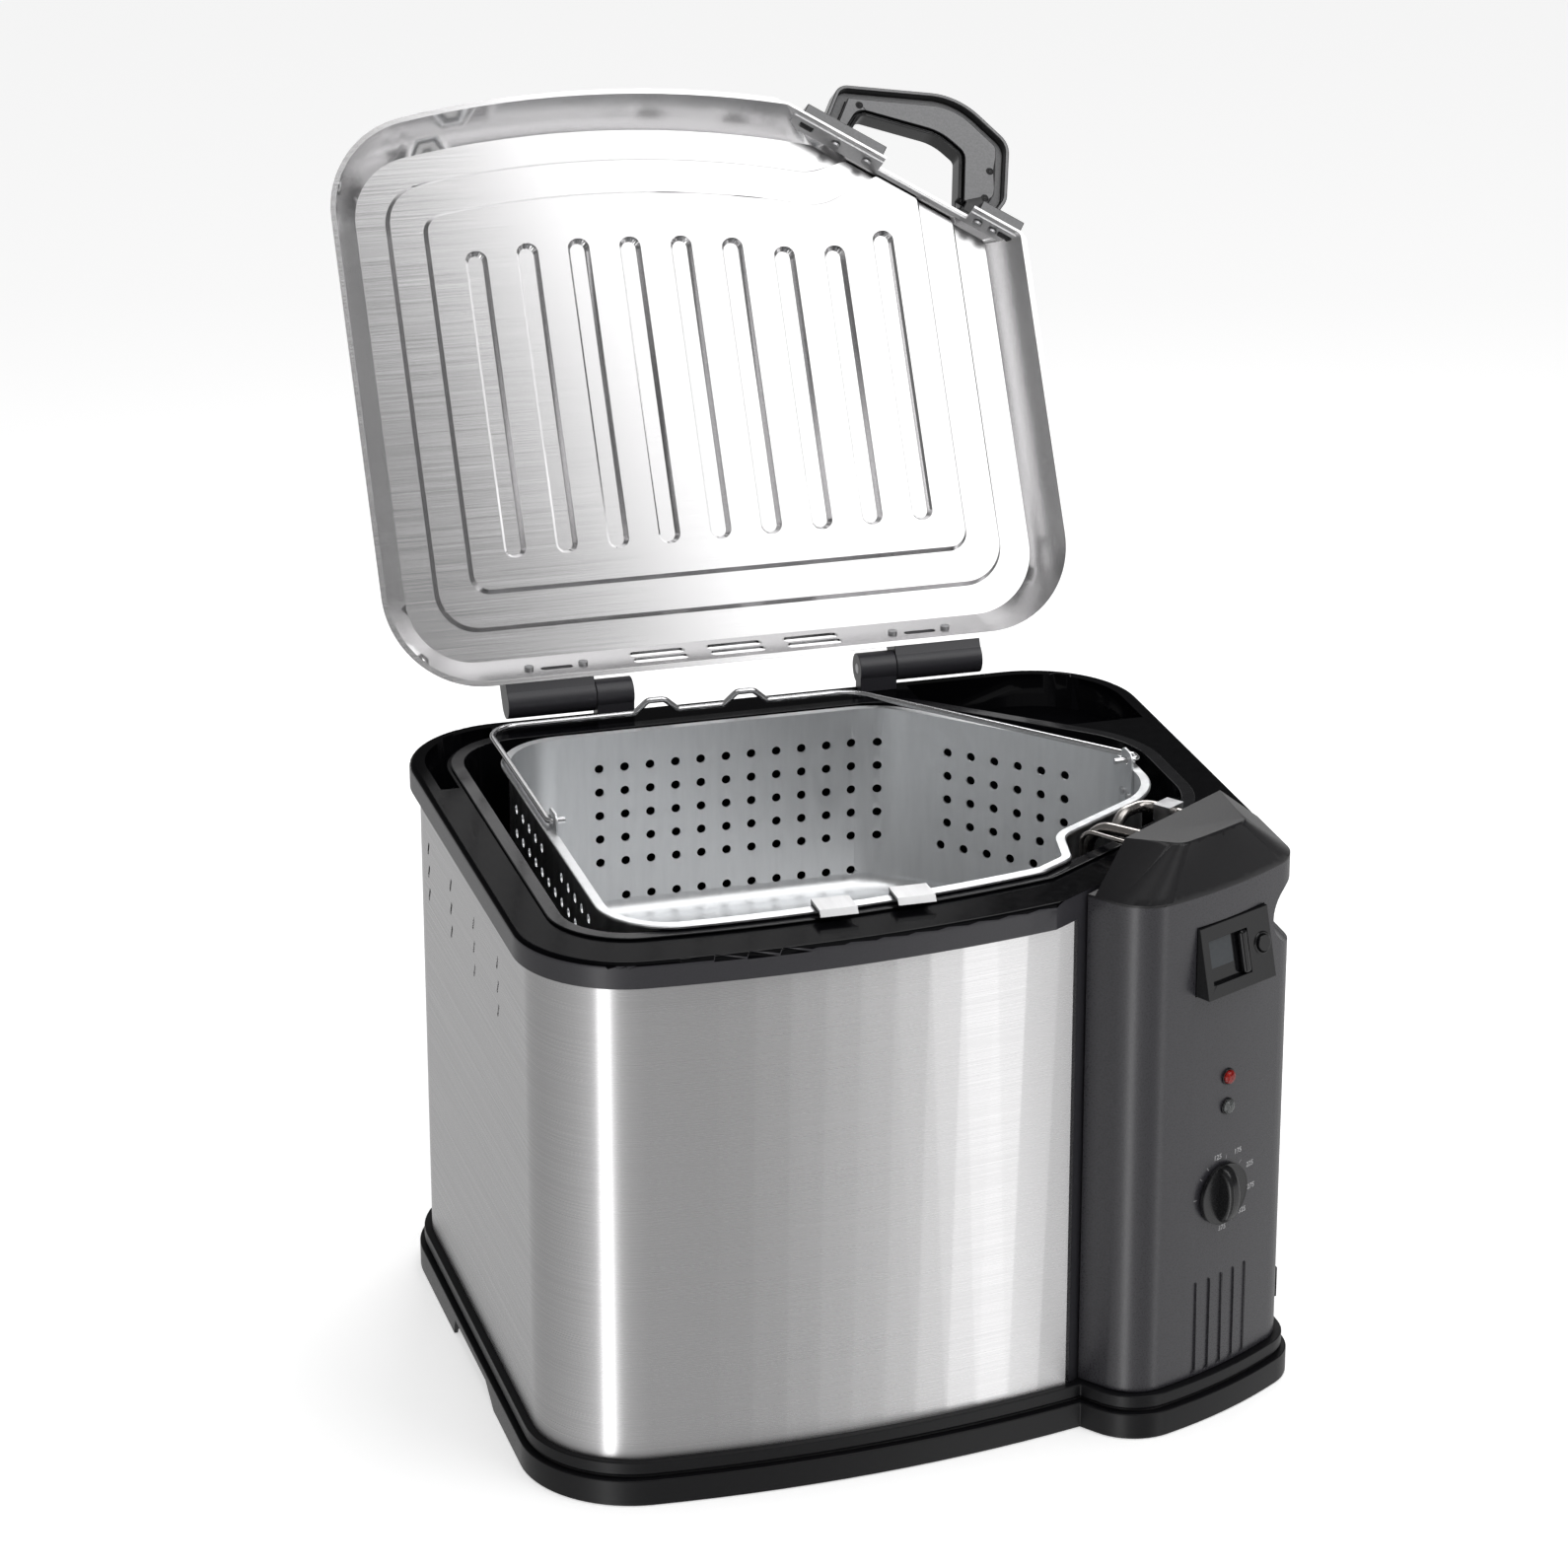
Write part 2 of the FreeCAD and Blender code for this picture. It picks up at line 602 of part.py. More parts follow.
def dock_strip():
    """Upright black strip that closes the body behind the tower, with two guide ribs."""
    floor = s.foot_gap + s.tray_wall
    plate = prism(grown(steel_plan, -s.steel_wall), floor, s.rim_top - s.rim_band)
    plate = plate.common(beyond_cut(s.dock_line)).cut(beyond_cut(inside_dock))
    for along in (55, 120):
        rib = Part.makeBox(6, s.dock_clearance - s.running_gap, 220,
                           Vector(along, -inside_dock - s.dock_clearance + s.running_gap, 60))
        plate = plate.fuse(placed(rib, cut_frame))
    return named("dock_strip", plate)


def corner_pocket(x_from, x_to, y_from, inset, depth, over=0):
    """Recess between the rim's edge and the pot's flange, in one rear corner."""
    area = prism(grown(steel_plan, s.rim_overhang - inset), s.rim_top - depth, s.rim_top + over)
    area = area.cut(prism(grown(pot_flange_plan, 2), 0, s.rim_top + 2))
    window = Part.makeBox(x_to - x_from, back - y_from + 20, depth + 2,
                          Vector(x_from, y_from, s.rim_top - depth))
    return area.common(window)


def top_rim():
    """Black collar that carries the pot, with a hand recess in each rear corner."""
    band_bottom = s.rim_top - s.rim_band
    solid = prism(grown(steel_plan, s.rim_overhang), band_bottom, s.rim_top)
    solid = solid.cut(beyond_cut(inside_dock))
    upper = [e for e in solid.Edges if e.BoundBox.ZMin > s.rim_top - 1e-3]
    outer_edges = [e for e in upper if not on_dock(e)]
    solid = solid.makeFillet(3.2, outer_edges)
    opening = grown(pot_outer, 1.6)
    hollow = prism(grown(steel_plan, s.rim_overhang - 2.6), band_bottom - 1, wall_top)
    hollow = hollow.cut(beyond_cut(s.dock_line)).cut(prism(grown(opening, 2.4), 0, s.rim_top))
    solid = solid.cut(hollow).cut(prism(opening, 0, s.rim_top + 1))
    for x_from, x_to, y_from, depth in ((-side, -side + 52, back - 92, 20), (side - 118, side, back - 92, 20)):
        cup = corner_pocket(x_from - 2, x_to + 2, y_from - 2, 6.8, depth + 2)
        well = corner_pocket(x_from, x_to, y_from, 8.8, depth, 1)
        solid = solid.fuse(cup).cut(well)
    solid = solid.cut(prism(opening, 0, s.rim_top + 1))
    return named("top_rim", solid)


def on_dock(edge):
    """True for an edge that lies on the rim's dock side."""
    level = cut_frame.inverse()
    return all(-level.multVec(v.Point).y > inside_dock - 0.01 for v in edge.Vertexes)


# ---------------------------------------------------------------- hinge on the rim
def hinge_sides():
    """(name, start of the knuckle, start of the barrel, +1 when the barrel is to the right)."""
    middle = -s.hinge_offset
    half = s.hinge_span / 2
    gap = s.running_gap
    left = ("left", middle - half - s.knuckle_width, middle - half - s.knuckle_width - gap - s.barrel_length, -1)
    right = ("right", middle + half, middle + half + s.knuckle_width + gap, 1)
    return left, right


def hinge_knuckles():
    """Knuckles that stand on the rim, bored for the pins."""
    for name, start, _, _ in hinge_sides():
        eye = Part.makeCylinder(s.hinge_round, s.knuckle_width, Vector(start, hinge_y, hinge_z), X)
        depth = s.hinge_round + 1.5
        post = Part.makeBox(s.knuckle_width, depth, hinge_z - s.rim_top,
                            Vector(start, hinge_y - s.hinge_round + 0.9, s.rim_top))
        bore = Part.makeCylinder(s.pin_diameter / 2, s.knuckle_width + 2, Vector(start - 1, hinge_y, hinge_z), X)
        named(f"hinge_knuckle_{name}", eye.fuse(post).cut(bore))


def hinge_pins():
    """Pins pressed into the knuckles; the barrels turn on them."""
    for name, start, _, way in hinge_sides():
        length = s.knuckle_width + s.running_gap + s.barrel_length * 0.6
        head_side = start + (s.knuckle_width if way < 0 else 0)
        pin = doc.addObject("Part::Cylinder", f"hinge_pin_{name}")
        pin.Label = f"hinge_pin_{name}"
        pin.setExpression("Radius", "Sizes.pin_diameter / 2")
        pin.setExpression("Height", "Sizes.knuckle_width + Sizes.running_gap + Sizes.barrel_length * 0.6")
        low = head_side - length if way < 0 else head_side
        pin.Placement = Placement(Vector(low, hinge_y, hinge_z), Rotation(Y, 90))
        parts.append(pin)


# ---------------------------------------------------------------- oil pot
def oil_pot():
    """Pressed pot with round bottom edges and a flat flange that lies on the rim."""
    flange_bottom = s.rim_top + s.pot_seat
    bottom_round = 18
    outer = prism(pot_outer, s.pot_floor, flange_bottom + s.pot_wall)
    outer = outer.makeFillet(bottom_round, [e for e in outer.Edges if e.BoundBox.ZMax < s.pot_floor + 1e-3])
    inner = prism(pot_inner, s.pot_floor + s.pot_wall, flange_top + 5)
    low = s.pot_floor + s.pot_wall + 1e-3
    inner = inner.makeFillet(bottom_round - s.pot_wall, [e for e in inner.Edges if e.BoundBox.ZMax < low])
    flange = prism(pot_flange_plan, flange_bottom, flange_top)
    return named("oil_pot", outer.fuse(flange).cut(inner))


# ---------------------------------------------------------------- fry basket
def fry_basket():
    """Deep-drawn basket with a rolled edge and a rounded floor."""
    floor = basket_rim - s.basket_depth
    bottom_round = 10
    outer = prism(basket_plan, floor, basket_rim - 0.3)
    outer = outer.makeFillet(bottom_round, [e for e in outer.Edges if e.BoundBox.ZMax < floor + 1e-3])
    inner = prism(grown(basket_plan, -s.basket_wall), floor + s.basket_wall, basket_rim + 1)
    low = floor + s.basket_wall + 1e-3
    inner = inner.makeFillet(bottom_round - s.basket_wall, [e for e in inner.Edges if e.BoundBox.ZMax < low])
    roll = prism(grown(basket_plan, 4.4), basket_rim - s.basket_roll, basket_rim)
    roll = roll.makeChamfer(s.basket_roll * 0.3, outer_flat_edges(roll))
    basket = outer.fuse(roll).cut(inner)
    return named("fry_basket", basket.cut(Part.makeCompound(basket_holes())))


def wall_holes(corner, heading, starts, levels):
    """Round holes square to a straight wall, at distances along it from one corner."""
    across = heading.cross(Z).normalize()
    reach = 12
    holes = []
    for along in starts:
        for level in levels:
            spot = corner + heading * along - across * reach + Vector(0, 0, level)
            holes.append(Part.makeCylinder(s.hole_diameter / 2, 2 * reach, spot, across))
    return holes


def hole_starts(first, length, last):
    """Distances along a wall, one pitch apart, ending at least last before its far corner."""
    count = int((length - first - last) / s.hole_pitch + 1e-6) + 1
    return [first + s.hole_pitch * index for index in range(max(count, 0))]


def basket_holes():
    """Rows of holes in the basket's walls, and one more row at the foot of the rear and front."""
    corners = basket_corners()
    left_front, front_point = corners[:2]
    chamfer_front, chamfer_rear, left_rear = corners[5:]
    rows = [basket_rim - s.hole_first_row - s.hole_row_pitch * index for index in range(5)]
    foot_row = [basket_rim - s.basket_depth + s.hole_foot_row]
    rear_length = chamfer_rear.x - left_rear.x
    side_length = left_rear.y - left_front.y
    cut_length = (chamfer_rear - chamfer_front).Length
    down_cut = (chamfer_front - chamfer_rear).normalize()
    along_front = (front_point - left_front).normalize()
    front_length = (front_point - left_front).Length
    below_ear = [level for level in rows if level < bail_level - ear_below - s.hole_diameter]
    holes = wall_holes(chamfer_rear, X * -1, hole_starts(3.9, rear_length, 46), rows)
    holes += wall_holes(chamfer_rear, X * -1, hole_starts(18.9, rear_length, 74), foot_row)
    holes += wall_holes(chamfer_rear, down_cut, hole_starts(43.3, cut_length, 30), rows[:4])
    holes += wall_holes(chamfer_rear, down_cut, hole_starts(39.3, cut_length, 48), rows[4:])
    holes += wall_holes(left_front, along_front, hole_starts(48, front_length, 34), rows + foot_row)
    for along in hole_starts(49, side_length, 52):
        by_ear = abs(left_rear.y - along - s.bail_pivot_y) < ear_width / 2 + s.hole_diameter
        holes += wall_holes(left_rear, Y * -1, [along], below_ear if by_ear else rows)
    holes += wall_holes(chamfer_front, Y * -1, hole_starts(12, 40, 10), below_ear)
    return holes


def outer_flat_edges(solid):
    """Edges of a plate's upper and lower outline."""
    return [e for e in solid.Edges if e.BoundBox.ZLength < 1e-3]


def basket_box():
    """Bounding box of the basket's wall."""
    return basket_plan.BoundBox


def bail_ears():
    """Ear plates inside the basket's ends, standing above the rim, bored for the wire."""
    box = basket_box()
    for name, x in (("left", box.XMin + s.basket_wall), ("right", box.XMax - s.basket_wall - ear_sheet)):
        foot = Vector(x, s.bail_pivot_y - ear_width / 2, bail_level - ear_below)
        plate = Part.makeBox(ear_sheet, ear_width, ear_below + 6, foot)
        upright = [e for e in plate.Edges if abs(e.tangentAt(0).x) > 0.99]
        plate = plate.makeFillet(5, upright)
        bore = Part.makeCylinder(s.bail_wire / 2 + 0.5, 10, Vector(x - 4, s.bail_pivot_y, bail_level), X)
        named(f"bail_ear_{name}", plate.cut(bore))


def ear_rivets():
    """Two rivets through each ear and the basket wall."""
    box = basket_box()
    rivets = []
    for x, way in ((box.XMin + s.basket_wall + ear_sheet, 1), (box.XMax - s.basket_wall - ear_sheet, -1)):
        for y in (s.bail_pivot_y - 5, s.bail_pivot_y + 5):
            spot = Vector(x, y, bail_level - 20)
            head = Part.makeCylinder(2.4, 1.2, spot, X * way)
            rivets.append(head)
    named("ear_rivets", Part.makeCompound(rivets))


def basket_hooks():
    """Two drain hooks on the front edge: strips bent over the pot's flange."""
    sheet_thick, width = 1.4, 21
    hooks = []
    for x in (-48.5, -4.5):
        wall_y = basket_front_y(x)
        edge_y = bow_y(x, s.pot_front) - 1.5
        top = basket_rim + sheet_thick
        path = [(wall_y + s.basket_wall + 1.4, basket_rim - 16), (wall_y + s.basket_wall + 1.4, top),
                (edge_y, top), (edge_y - 2.5, basket_rim - 0.6), (edge_y - 3.9, basket_rim - 0.6),
                (edge_y - 1.2, top + sheet_thick), (wall_y + s.basket_wall + 2.8, top + sheet_thick),
                (wall_y + s.basket_wall + 2.8, basket_rim - 16)]
        wire = Part.makePolygon([Vector(x - width / 2, y, z) for y, z in path + path[:1]])
        hooks.append(Part.Face(wire).extrude(X * width))
    named("basket_hooks", Part.makeCompound(hooks))


def basket_front_y(x):
    """Y of the basket's front wall at x."""
    return bow_y(x, s.pot_front + s.pot_flange + s.pot_wall + s.basket_front)


def bail_handle():
    """Wire bail: lies back over the rear of the rim, with two humps and inward ends."""
    box = basket_box()
    z = bail_level
    left_leg, right_leg = box.XMin - 1.0, box.XMax + 4.5
    rear = box.YMax + 19
    pivot = s.bail_pivot_y
    chamfer = Vector(box.XMax - 118, rear, z)
    hump_half = 13
    points = [Vector(left_leg + 9, pivot, z), Vector(left_leg, pivot, z), Vector(left_leg, rear, z)]
    for middle in (-65, -12):
        points += [Vector(middle - hump_half, rear, z), Vector(middle - 5, rear, z + s.bail_hump),
                   Vector(middle + 5, rear, z + s.bail_hump), Vector(middle + hump_half, rear, z)]
    points += [chamfer, Vector(right_leg, pivot + 6, z), Vector(right_leg, pivot, z),
               Vector(right_leg - 14, pivot, z)]
    radii = [3, 18] + [4, 4, 4, 4] * 2 + [26, 3, 2.6]
    return named("bail_handle", tube(mixed_path(points, radii), s.bail_wire))


def mixed_path(points, radii):
    """Open wire of straight runs joined by arcs, each corner with its own radius."""
    edges = []
    start = points[0]
    for before, corner, after, radius in zip(points, points[1:], points[2:], radii):
        into = (corner - before).normalize()
        away = (after - corner).normalize()
        turn = into.getAngle(away)
        setback = radius * math.tan(turn / 2)
        first, last = corner - into * setback, corner + away * setback
        inward = (away - into).normalize()
        middle = corner + inward * (radius / math.cos(turn / 2) - radius)
        if (first - start).Length > 1e-4:
            edges.append(Part.makeLine(start, first))
        edges.append(Part.Arc(first, middle, last).toShape())
        start = last
    edges.append(Part.makeLine(start, points[-1]))
    return Part.Wire(edges)


# ---------------------------------------------------------------- heating element
riser_front = at_cut(s.cut_from_side * 0.578, -s.pot_to_cut - 21)
riser_back = at_cut(s.cut_from_side * 0.708, -s.pot_to_cut - 16)
loop_level = basket_rim - s.basket_depth - 4.9
entry_front, entry_back = s.cut_from_side * 0.619, s.cut_from_side * 0.87
entry_depth = 26


def loop_rows():
    """Y of the loop's four straight runs, front to rear."""
    first, last = riser_front.y, pot_inner.BoundBox.YMax - 55
    return [first, first + (last - first) / 3, first + (last - first) * 2 / 3, last]


def heating_element():
    """One bent tube: out of the cap, down, round the pot in two turns, up and back."""
    rows = loop_rows()
    far_left, far_right = pot_inner.BoundBox.XMin + 46, pot_inner.BoundBox.XMax - 116
    inner_left = far_left + 60
    up, low = Z * tube_level, Z * loop_level
    points = [at_cut(entry_front, entry_depth) + up, riser_front + up, riser_front + low,
              Vector(far_left, rows[0], loop_level), Vector(far_left, rows[3], loop_level),
              Vector(far_right, rows[3], loop_level), Vector(far_right, rows[2], loop_level),
              Vector(inner_left, rows[2], loop_level), Vector(inner_left, rows[1], loop_level),
              Vector(riser_back.x, rows[1], loop_level), riser_back + low, riser_back + up,
              at_cut(entry_back, -s.pot_to_cut - 15) + up, at_cut(entry_back, entry_depth) + up]
    radii = [15, 12, 28, 28, 28, 28, 28, 28, 28, 12, 10.5, 9]
    return named("heating_element", tube(mixed_path(points, radii), s.element_tube))


def element_supports():
    """Two bridges on the pot's floor that hold the loop and carry the basket."""
    rows = loop_rows()
    floor = s.pot_floor + s.pot_wall
    top = loop_level + s.element_tube / 2 + 0.1 + s.strap_sheet
    bridges = []
    for x in (-30, 30):
        start, end = rows[0] - 9, rows[3] + 9
        low = x - s.strap_width / 2
        bar = Part.makeBox(s.strap_width, end - start, s.strap_sheet, Vector(low, start, top - s.strap_sheet))
        for y in (start, end - s.strap_sheet):
            bar = bar.fuse(Part.makeBox(s.strap_width, s.strap_sheet, top - floor, Vector(low, y, floor)))
        for y, way in ((start - 8, 0), (end, 0)):
            bar = bar.fuse(Part.makeBox(s.strap_width, 8, s.strap_sheet, Vector(low, y, floor)))
        for y in rows:
            collar = Part.makeCylinder(s.element_tube / 2 + 1.1, s.strap_width, Vector(low, y, loop_level), X)
            bar = bar.fuse(collar)
        for y in rows:
            bar = bar.cut(Part.makeCylinder(s.element_tube / 2, s.strap_width + 2, Vector(low - 1, y, loop_level), X))
        bridges.append(bar)
    named("element_supports", Part.makeCompound(bridges))


def element_clamp():
    """Small block that ties the rear tube down beside the flange."""
    block = Part.makeBox(13, 11, 9.4, Vector(entry_back - 6.5, s.pot_to_cut - 7, tube_level - 4.7))
    bore = Part.makeCylinder(s.element_tube / 2, 30, Vector(entry_back, 0, tube_level), Y)
    return named("element_clamp", placed(block.cut(bore), cut_frame))


def sensor_probe():
    """Thin capillary from the cap into the oil, ending in a bulb."""
    along = s.cut_from_side * 0.51
    bulb_low, bulb_high = s.pot_floor + 60, s.pot_floor + 115
    depth = -s.pot_to_cut - 18
    points = [at_cut(along, entry_depth - 4, tube_level), at_cut(along, depth, tube_level),
              at_cut(along, depth, bulb_high)]
    line = tube(mixed_path(points, [8]), 2.6)
    bulb = Part.makeCylinder(2.6, bulb_high - bulb_low, at_cut(along, depth, bulb_low))
    return named("sensor_probe", line.fuse(bulb))


# ---------------------------------------------------------------- control tower
housing_bottom = base_top + 0.6
cover_margin = 12


def tower_inside():
    """Space inside the control housing."""
    floor = housing_bottom + s.tower_wall
    return prism(grown(tower_plan, -s.tower_wall), floor, s.tower_top)


def rear_cover_block(margin=0.0):
    """Block in the back wall that the rear cover fills."""
    box = tower_plan.BoundBox
    along_end = (box.XMax - at_cut(0, dock_back).x) / math.cos(math.radians(s.cut_angle))
    start, end = s.tower_run + cover_margin, along_end - cover_margin
    block = Part.makeBox(end - start, s.tower_wall, s.tower_top - housing_bottom - 20,
                         Vector(start, -dock_back - s.tower_wall, housing_bottom + 10))
    return placed(block, cut_frame)


def face_box(x, y, z, width, height, depth):
    """Box in the control face's own frame: x along, y up, z outwards."""
    return placed(Part.makeBox(width, height, depth, Vector(x, y, z)), face_frame)


def face_cylinder(x, y, z, radius, height):
    """Cylinder standing off the control face."""
    return placed(Part.makeCylinder(radius, height, Vector(x, y, z)), face_frame)


def face_level(x):
    """Height of the bowed control face over its chord at x."""
    half = face_length / 2
    return s.face_bulge * (1 - ((x - half) / half) ** 2)


def timer_window(clearance=0.0):
    """(x, y, width, height) of the timer, in the control face's frame."""
    width, height = s.timer_width - 2 * clearance, s.timer_height - 2 * clearance
    return timer_column - width / 2, s.timer_level - height / 2, width, height


face_length = (side + s.tower_overhang - face_corner.x) / math.cos(math.radians(s.face_angle))
timer_column = s.control_column + 2.2
lens_column = s.control_column + 2.4


def scoop(radius):
    """Round bar across the tower's side, for the finger scoop."""
    return Part.makeCylinder(radius, 65, Vector(side + s.scoop_depth - 1, -150, s.scoop_level), Y)


def inlet_block(grow=0.0):
    """Outline block of the cord inlet in the tower's side."""
    return Part.makeBox(22, 26 + 2 * grow, 18 + 2 * grow,
                        Vector(side - 12, -117 - grow, 38.5 - grow))


def control_housing():
    """Front shell of the tower with all its openings."""
    outer = prism(tower_plan, housing_bottom, s.tower_top)
    shell = outer.cut(prism(grown(tower_plan, -s.tower_wall), housing_bottom + s.tower_wall, s.tower_top + 1))
    shell = shell.cut(rear_cover_block())
    skin = scoop(s.scoop_radius + s.tower_wall).common(outer)
    shell = shell.fuse(skin).cut(scoop(s.scoop_radius))
    x, y, width, height = timer_window()
    cuts = [face_box(x, y, -8, width, height, 30)]
    cuts.append(face_cylinder(s.control_column, s.knob_level, -8, s.shaft_diameter / 2 + s.running_gap, 30))
    for level in (s.ready_level, s.power_level):
        cuts.append(face_cylinder(lens_column, level, -8, s.lens_diameter / 2, 30))
    for groove in range(5):
        x = s.control_column - 18.4 + 9.8 * groove
        bottom = housing_bottom + 1.2
        slot = slot_prism(56, 3.9, 30)
        slot.rotate(Vector(0, 0, 0), Z, 90)
        slot.translate(Vector(x, bottom + 28, face_level(x) - 1.2))
        cuts.append(placed(slot, face_frame))
    cuts.append(inlet_block())
    return named("control_housing", shell.cut(Part.makeCompound(cuts)))


def screw_spots():
    """Centres of the rear cover's screws: (along the corner cut, height)."""
    box = tower_plan.BoundBox
    along_end = (box.XMax - at_cut(0, dock_back).x) / math.cos(math.radians(s.cut_angle))
    start, end = s.tower_run + cover_margin + 9, along_end - cover_margin - 16
    return [(along, z) for along in (start, end) for z in (housing_bottom + 46, s.tower_top - 22)]


def countersunk(along, z, length):
    """Countersunk screw pointing into the tower from its back."""
    head = Part.makeCone(3.6, 1.8, 1.8)
    shank = Part.makeCylinder(1.8, length)
    screw = head.fuse(shank)
    screw.rotate(Vector(0, 0, 0), X, 90)
    screw.translate(Vector(along, -dock_back, z))
    return placed(screw, cut_frame)


def control_rear_cover():
    """Flat back of the tower, screwed on, with bosses for its screws."""
    plate = rear_cover_block()
    for along, z in screw_spots():
        boss = Part.makeCylinder(4.2, 10, Vector(along, -dock_back - s.tower_wall + 0.2, z), Y * -1)
        boss = placed(boss, cut_frame).common(tower_inside())
        plate = plate.fuse(boss.cut(scoop(s.scoop_radius + s.tower_wall + s.running_gap)))
        plate = plate.cut(countersunk(along, z, 9))
    return named("control_rear_cover", plate)


def control_screws():
    """Four countersunk screws in the rear cover."""
    screws = [countersunk(along, z, 9) for along, z in screw_spots()]
    named("control_screws", Part.makeCompound(screws))


def cap_hull(inset, rise):
    """Solid cap between the tower's top and the flat facet."""
    low = s.tower_top + rise
    high = s.cap_top - inset
    back_line = dock_back + 4.4 + inset
    face_turn = math.radians(s.face_angle)
    heading = Vector(math.cos(face_turn), math.sin(face_turn), 0)
    left_front = at_cut(s.tower_run + inset, s.tower_reach - inset)
    tower_side = side + s.tower_overhang - inset
    right_front = left_front + heading * ((tower_side - left_front.x) / math.cos(face_turn))
    left_back = at_cut(s.tower_run - 0.7 + inset, back_line)
    right_back = cut_meets(tower_side, back_line)
    bottom = outline([left_back, left_front, right_front, right_back],
                     [0, s.tower_corner - inset, s.tower_corner - inset, 0], {1: s.face_bulge})
    along = [s.cut_from_side * f for f in (0.31, 0.40, 0.735, 0.92)]
    out = [dock_back + 8.6, 45.5, 51, 15.2]
    shift = [(inset, inset), (inset, -inset), (-inset, -inset), (-inset, inset)]
    facet = [at_cut(a + da, o + do) for a, o, (da, do) in zip(along, out, shift)]
    top = outline(facet, [0, 9, 7, 0], {1: 0.6})
    return Part.makeLoft([raised(bottom, low), raised(top, high)], True, True)


def control_cap():
    """Sloping cap of the tower; the element's tubes pass through its back."""
    ledge = prism(tower_plan, s.tower_top, s.tower_top + 1.4)
    hull = cap_hull(0, 1.4).fuse(ledge)
    hollow = cap_hull(s.cap_wall, 0)
    cap = hull.cut(hollow)
    for along, radius in ((entry_front, s.element_tube / 2 + 0.8), (entry_back, s.element_tube / 2 + 0.8),
                          (s.cut_from_side * 0.51, 2)):
        hole = Part.makeCylinder(radius, 30, Vector(along, 0, tube_level), Y * -1)
        cap = cap.cut(placed(hole, cut_frame))
    return named("control_cap", cap)


def timer_bay():
    """Open box behind the window that holds the timer."""
    x, y, width, height = timer_window()
    wall = 1.6
    outer = face_box(x - wall, y - wall, -s.timer_depth, width + 2 * wall, height + 2 * wall, 40)
    inner = face_box(x, y, -s.timer_depth + wall, width, height, 60)
    return named("timer_bay", outer.cut(inner).common(tower_inside()))


def timer_case():
    """Slide-out timer: its face leans back, its lower edge stands proud."""
    x, y, width, height = timer_window(s.running_gap)
    rear = -s.timer_depth + 2.4
    case = Part.Face(timer_profile(x, y, height, rear, 0)).extrude(X * width)
    screen = screen_pocket(1.4)
    well = button_place().copy()
    hole = placed(Part.makeCylinder(s.timer_button / 2 + 0.3, 4, Vector(0, 0, -3.5)), well)
    battery = Part.makeBox(24, 24, 5, Vector(x + width / 2 - 12, y + height / 2 - 12, rear - 1))
    return named("timer_case", case.cut(screen).cut(hole).cut(battery), face_frame)


def timer_profile(x, y, height, rear, drop):
    """Side outline of the timer; its front edge runs from proud to flush."""
    proud = 15.2 - drop
    flush = proud - height * math.tan(math.radians(s.timer_tilt))
    return Part.makePolygon([Vector(x, y, rear), Vector(x, y, proud), Vector(x, y + height, flush),
                             Vector(x, y + height, rear), Vector(x, y, rear)])


def timer_front(x, y):
    """Placement on the timer's face at x and height y, its Z outwards."""
    _, low, _, _ = timer_window(s.running_gap)
    z = 15.2 - (y - low) * math.tan(math.radians(s.timer_tilt))
    return Placement(Vector(x, y, z), Rotation(X, -s.timer_tilt))


def button_place():
    """Placement of the timer's round button."""
    return timer_front(timer_column + 18.7, s.timer_level + 0.8)


def screen_pocket(depth):
    """Block let into the timer's face for the window."""
    pocket_block = Part.makeBox(27, 22, depth + 2, Vector(-13.5, -11, -depth))
    return placed(pocket_block, timer_front(timer_column - 5, s.timer_level - 1.4))


def timer_lens():
    """Window of the timer."""
    pane = Part.makeBox(27, 22, 1.4, Vector(-13.5, -11, -1.4))
    return named("timer_lens", placed(pane, timer_front(timer_column - 5, s.timer_level - 1.4)), face_frame)


def timer_button():
    """Round push button of the timer."""
    button = doc.addObject("Part::Cylinder", "timer_button")
    button.Label = "timer_button"
    button.setExpression("Radius", "Sizes.timer_button / 2")
    button.Height = 4
    seat = button_place().multiply(Placement(Vector(0, 0, -1.9), Rotation()))
    button.Placement = face_frame.multiply(seat)
    parts.append(button)


def battery_door():
    """Cover in the timer's back, and the cell behind it."""
    x, y, width, height = timer_window(s.running_gap)
    rear = -s.timer_depth + 2.4
    door = Part.makeBox(24, 24, 1.2, Vector(x + width / 2 - 12, y + height / 2 - 12, rear))
    named("battery_door", door, face_frame)
    cell = Part.makeCylinder(10, 2.8, Vector(x + width / 2, y + height / 2, rear + 1.2))
    named("coin_cell", cell, face_frame)


def temperature_knob():
    """Knob with a round skirt and a leaf-shaped grip, bored for its shaft."""
    body = new_body("temperature_knob")
    skirt = sketch_on(body, "knob_skirt_plan", "XY_Plane")
    add_circle(skirt, "Sizes.knob_diameter")
    pad(body, skirt, "Sizes.knob_skirt")
    grip = sketch_on(body, "knob_grip_plan", "XY_Plane")
    half_width, half_length = s.knob_diameter * 0.30, s.knob_diameter * 0.45
    turns = [math.radians(15 * step) for step in range(24)]
    add_polygon(grip, [(half_width * math.cos(turn) * abs(math.cos(turn)) ** 0.25,
                        half_length * math.sin(turn)) for turn in turns])
    leaf = pad(body, grip, "Sizes.knob_height")
    leaf.TaperAngle = -38
    bore = sketch_on(body, "knob_bore", "XY_Plane")
    add_circle(bore, "Sizes.shaft_diameter")
    pocket(body, bore, "Sizes.knob_height * 0.6", True)
    body.Placement = knob_place()


def knob_place():
    """Placement of the knob's underside."""
    level = face_level(s.control_column) + 0.6
    return face_frame.multiply(Placement(Vector(s.control_column, s.knob_level, level), Rotation()))


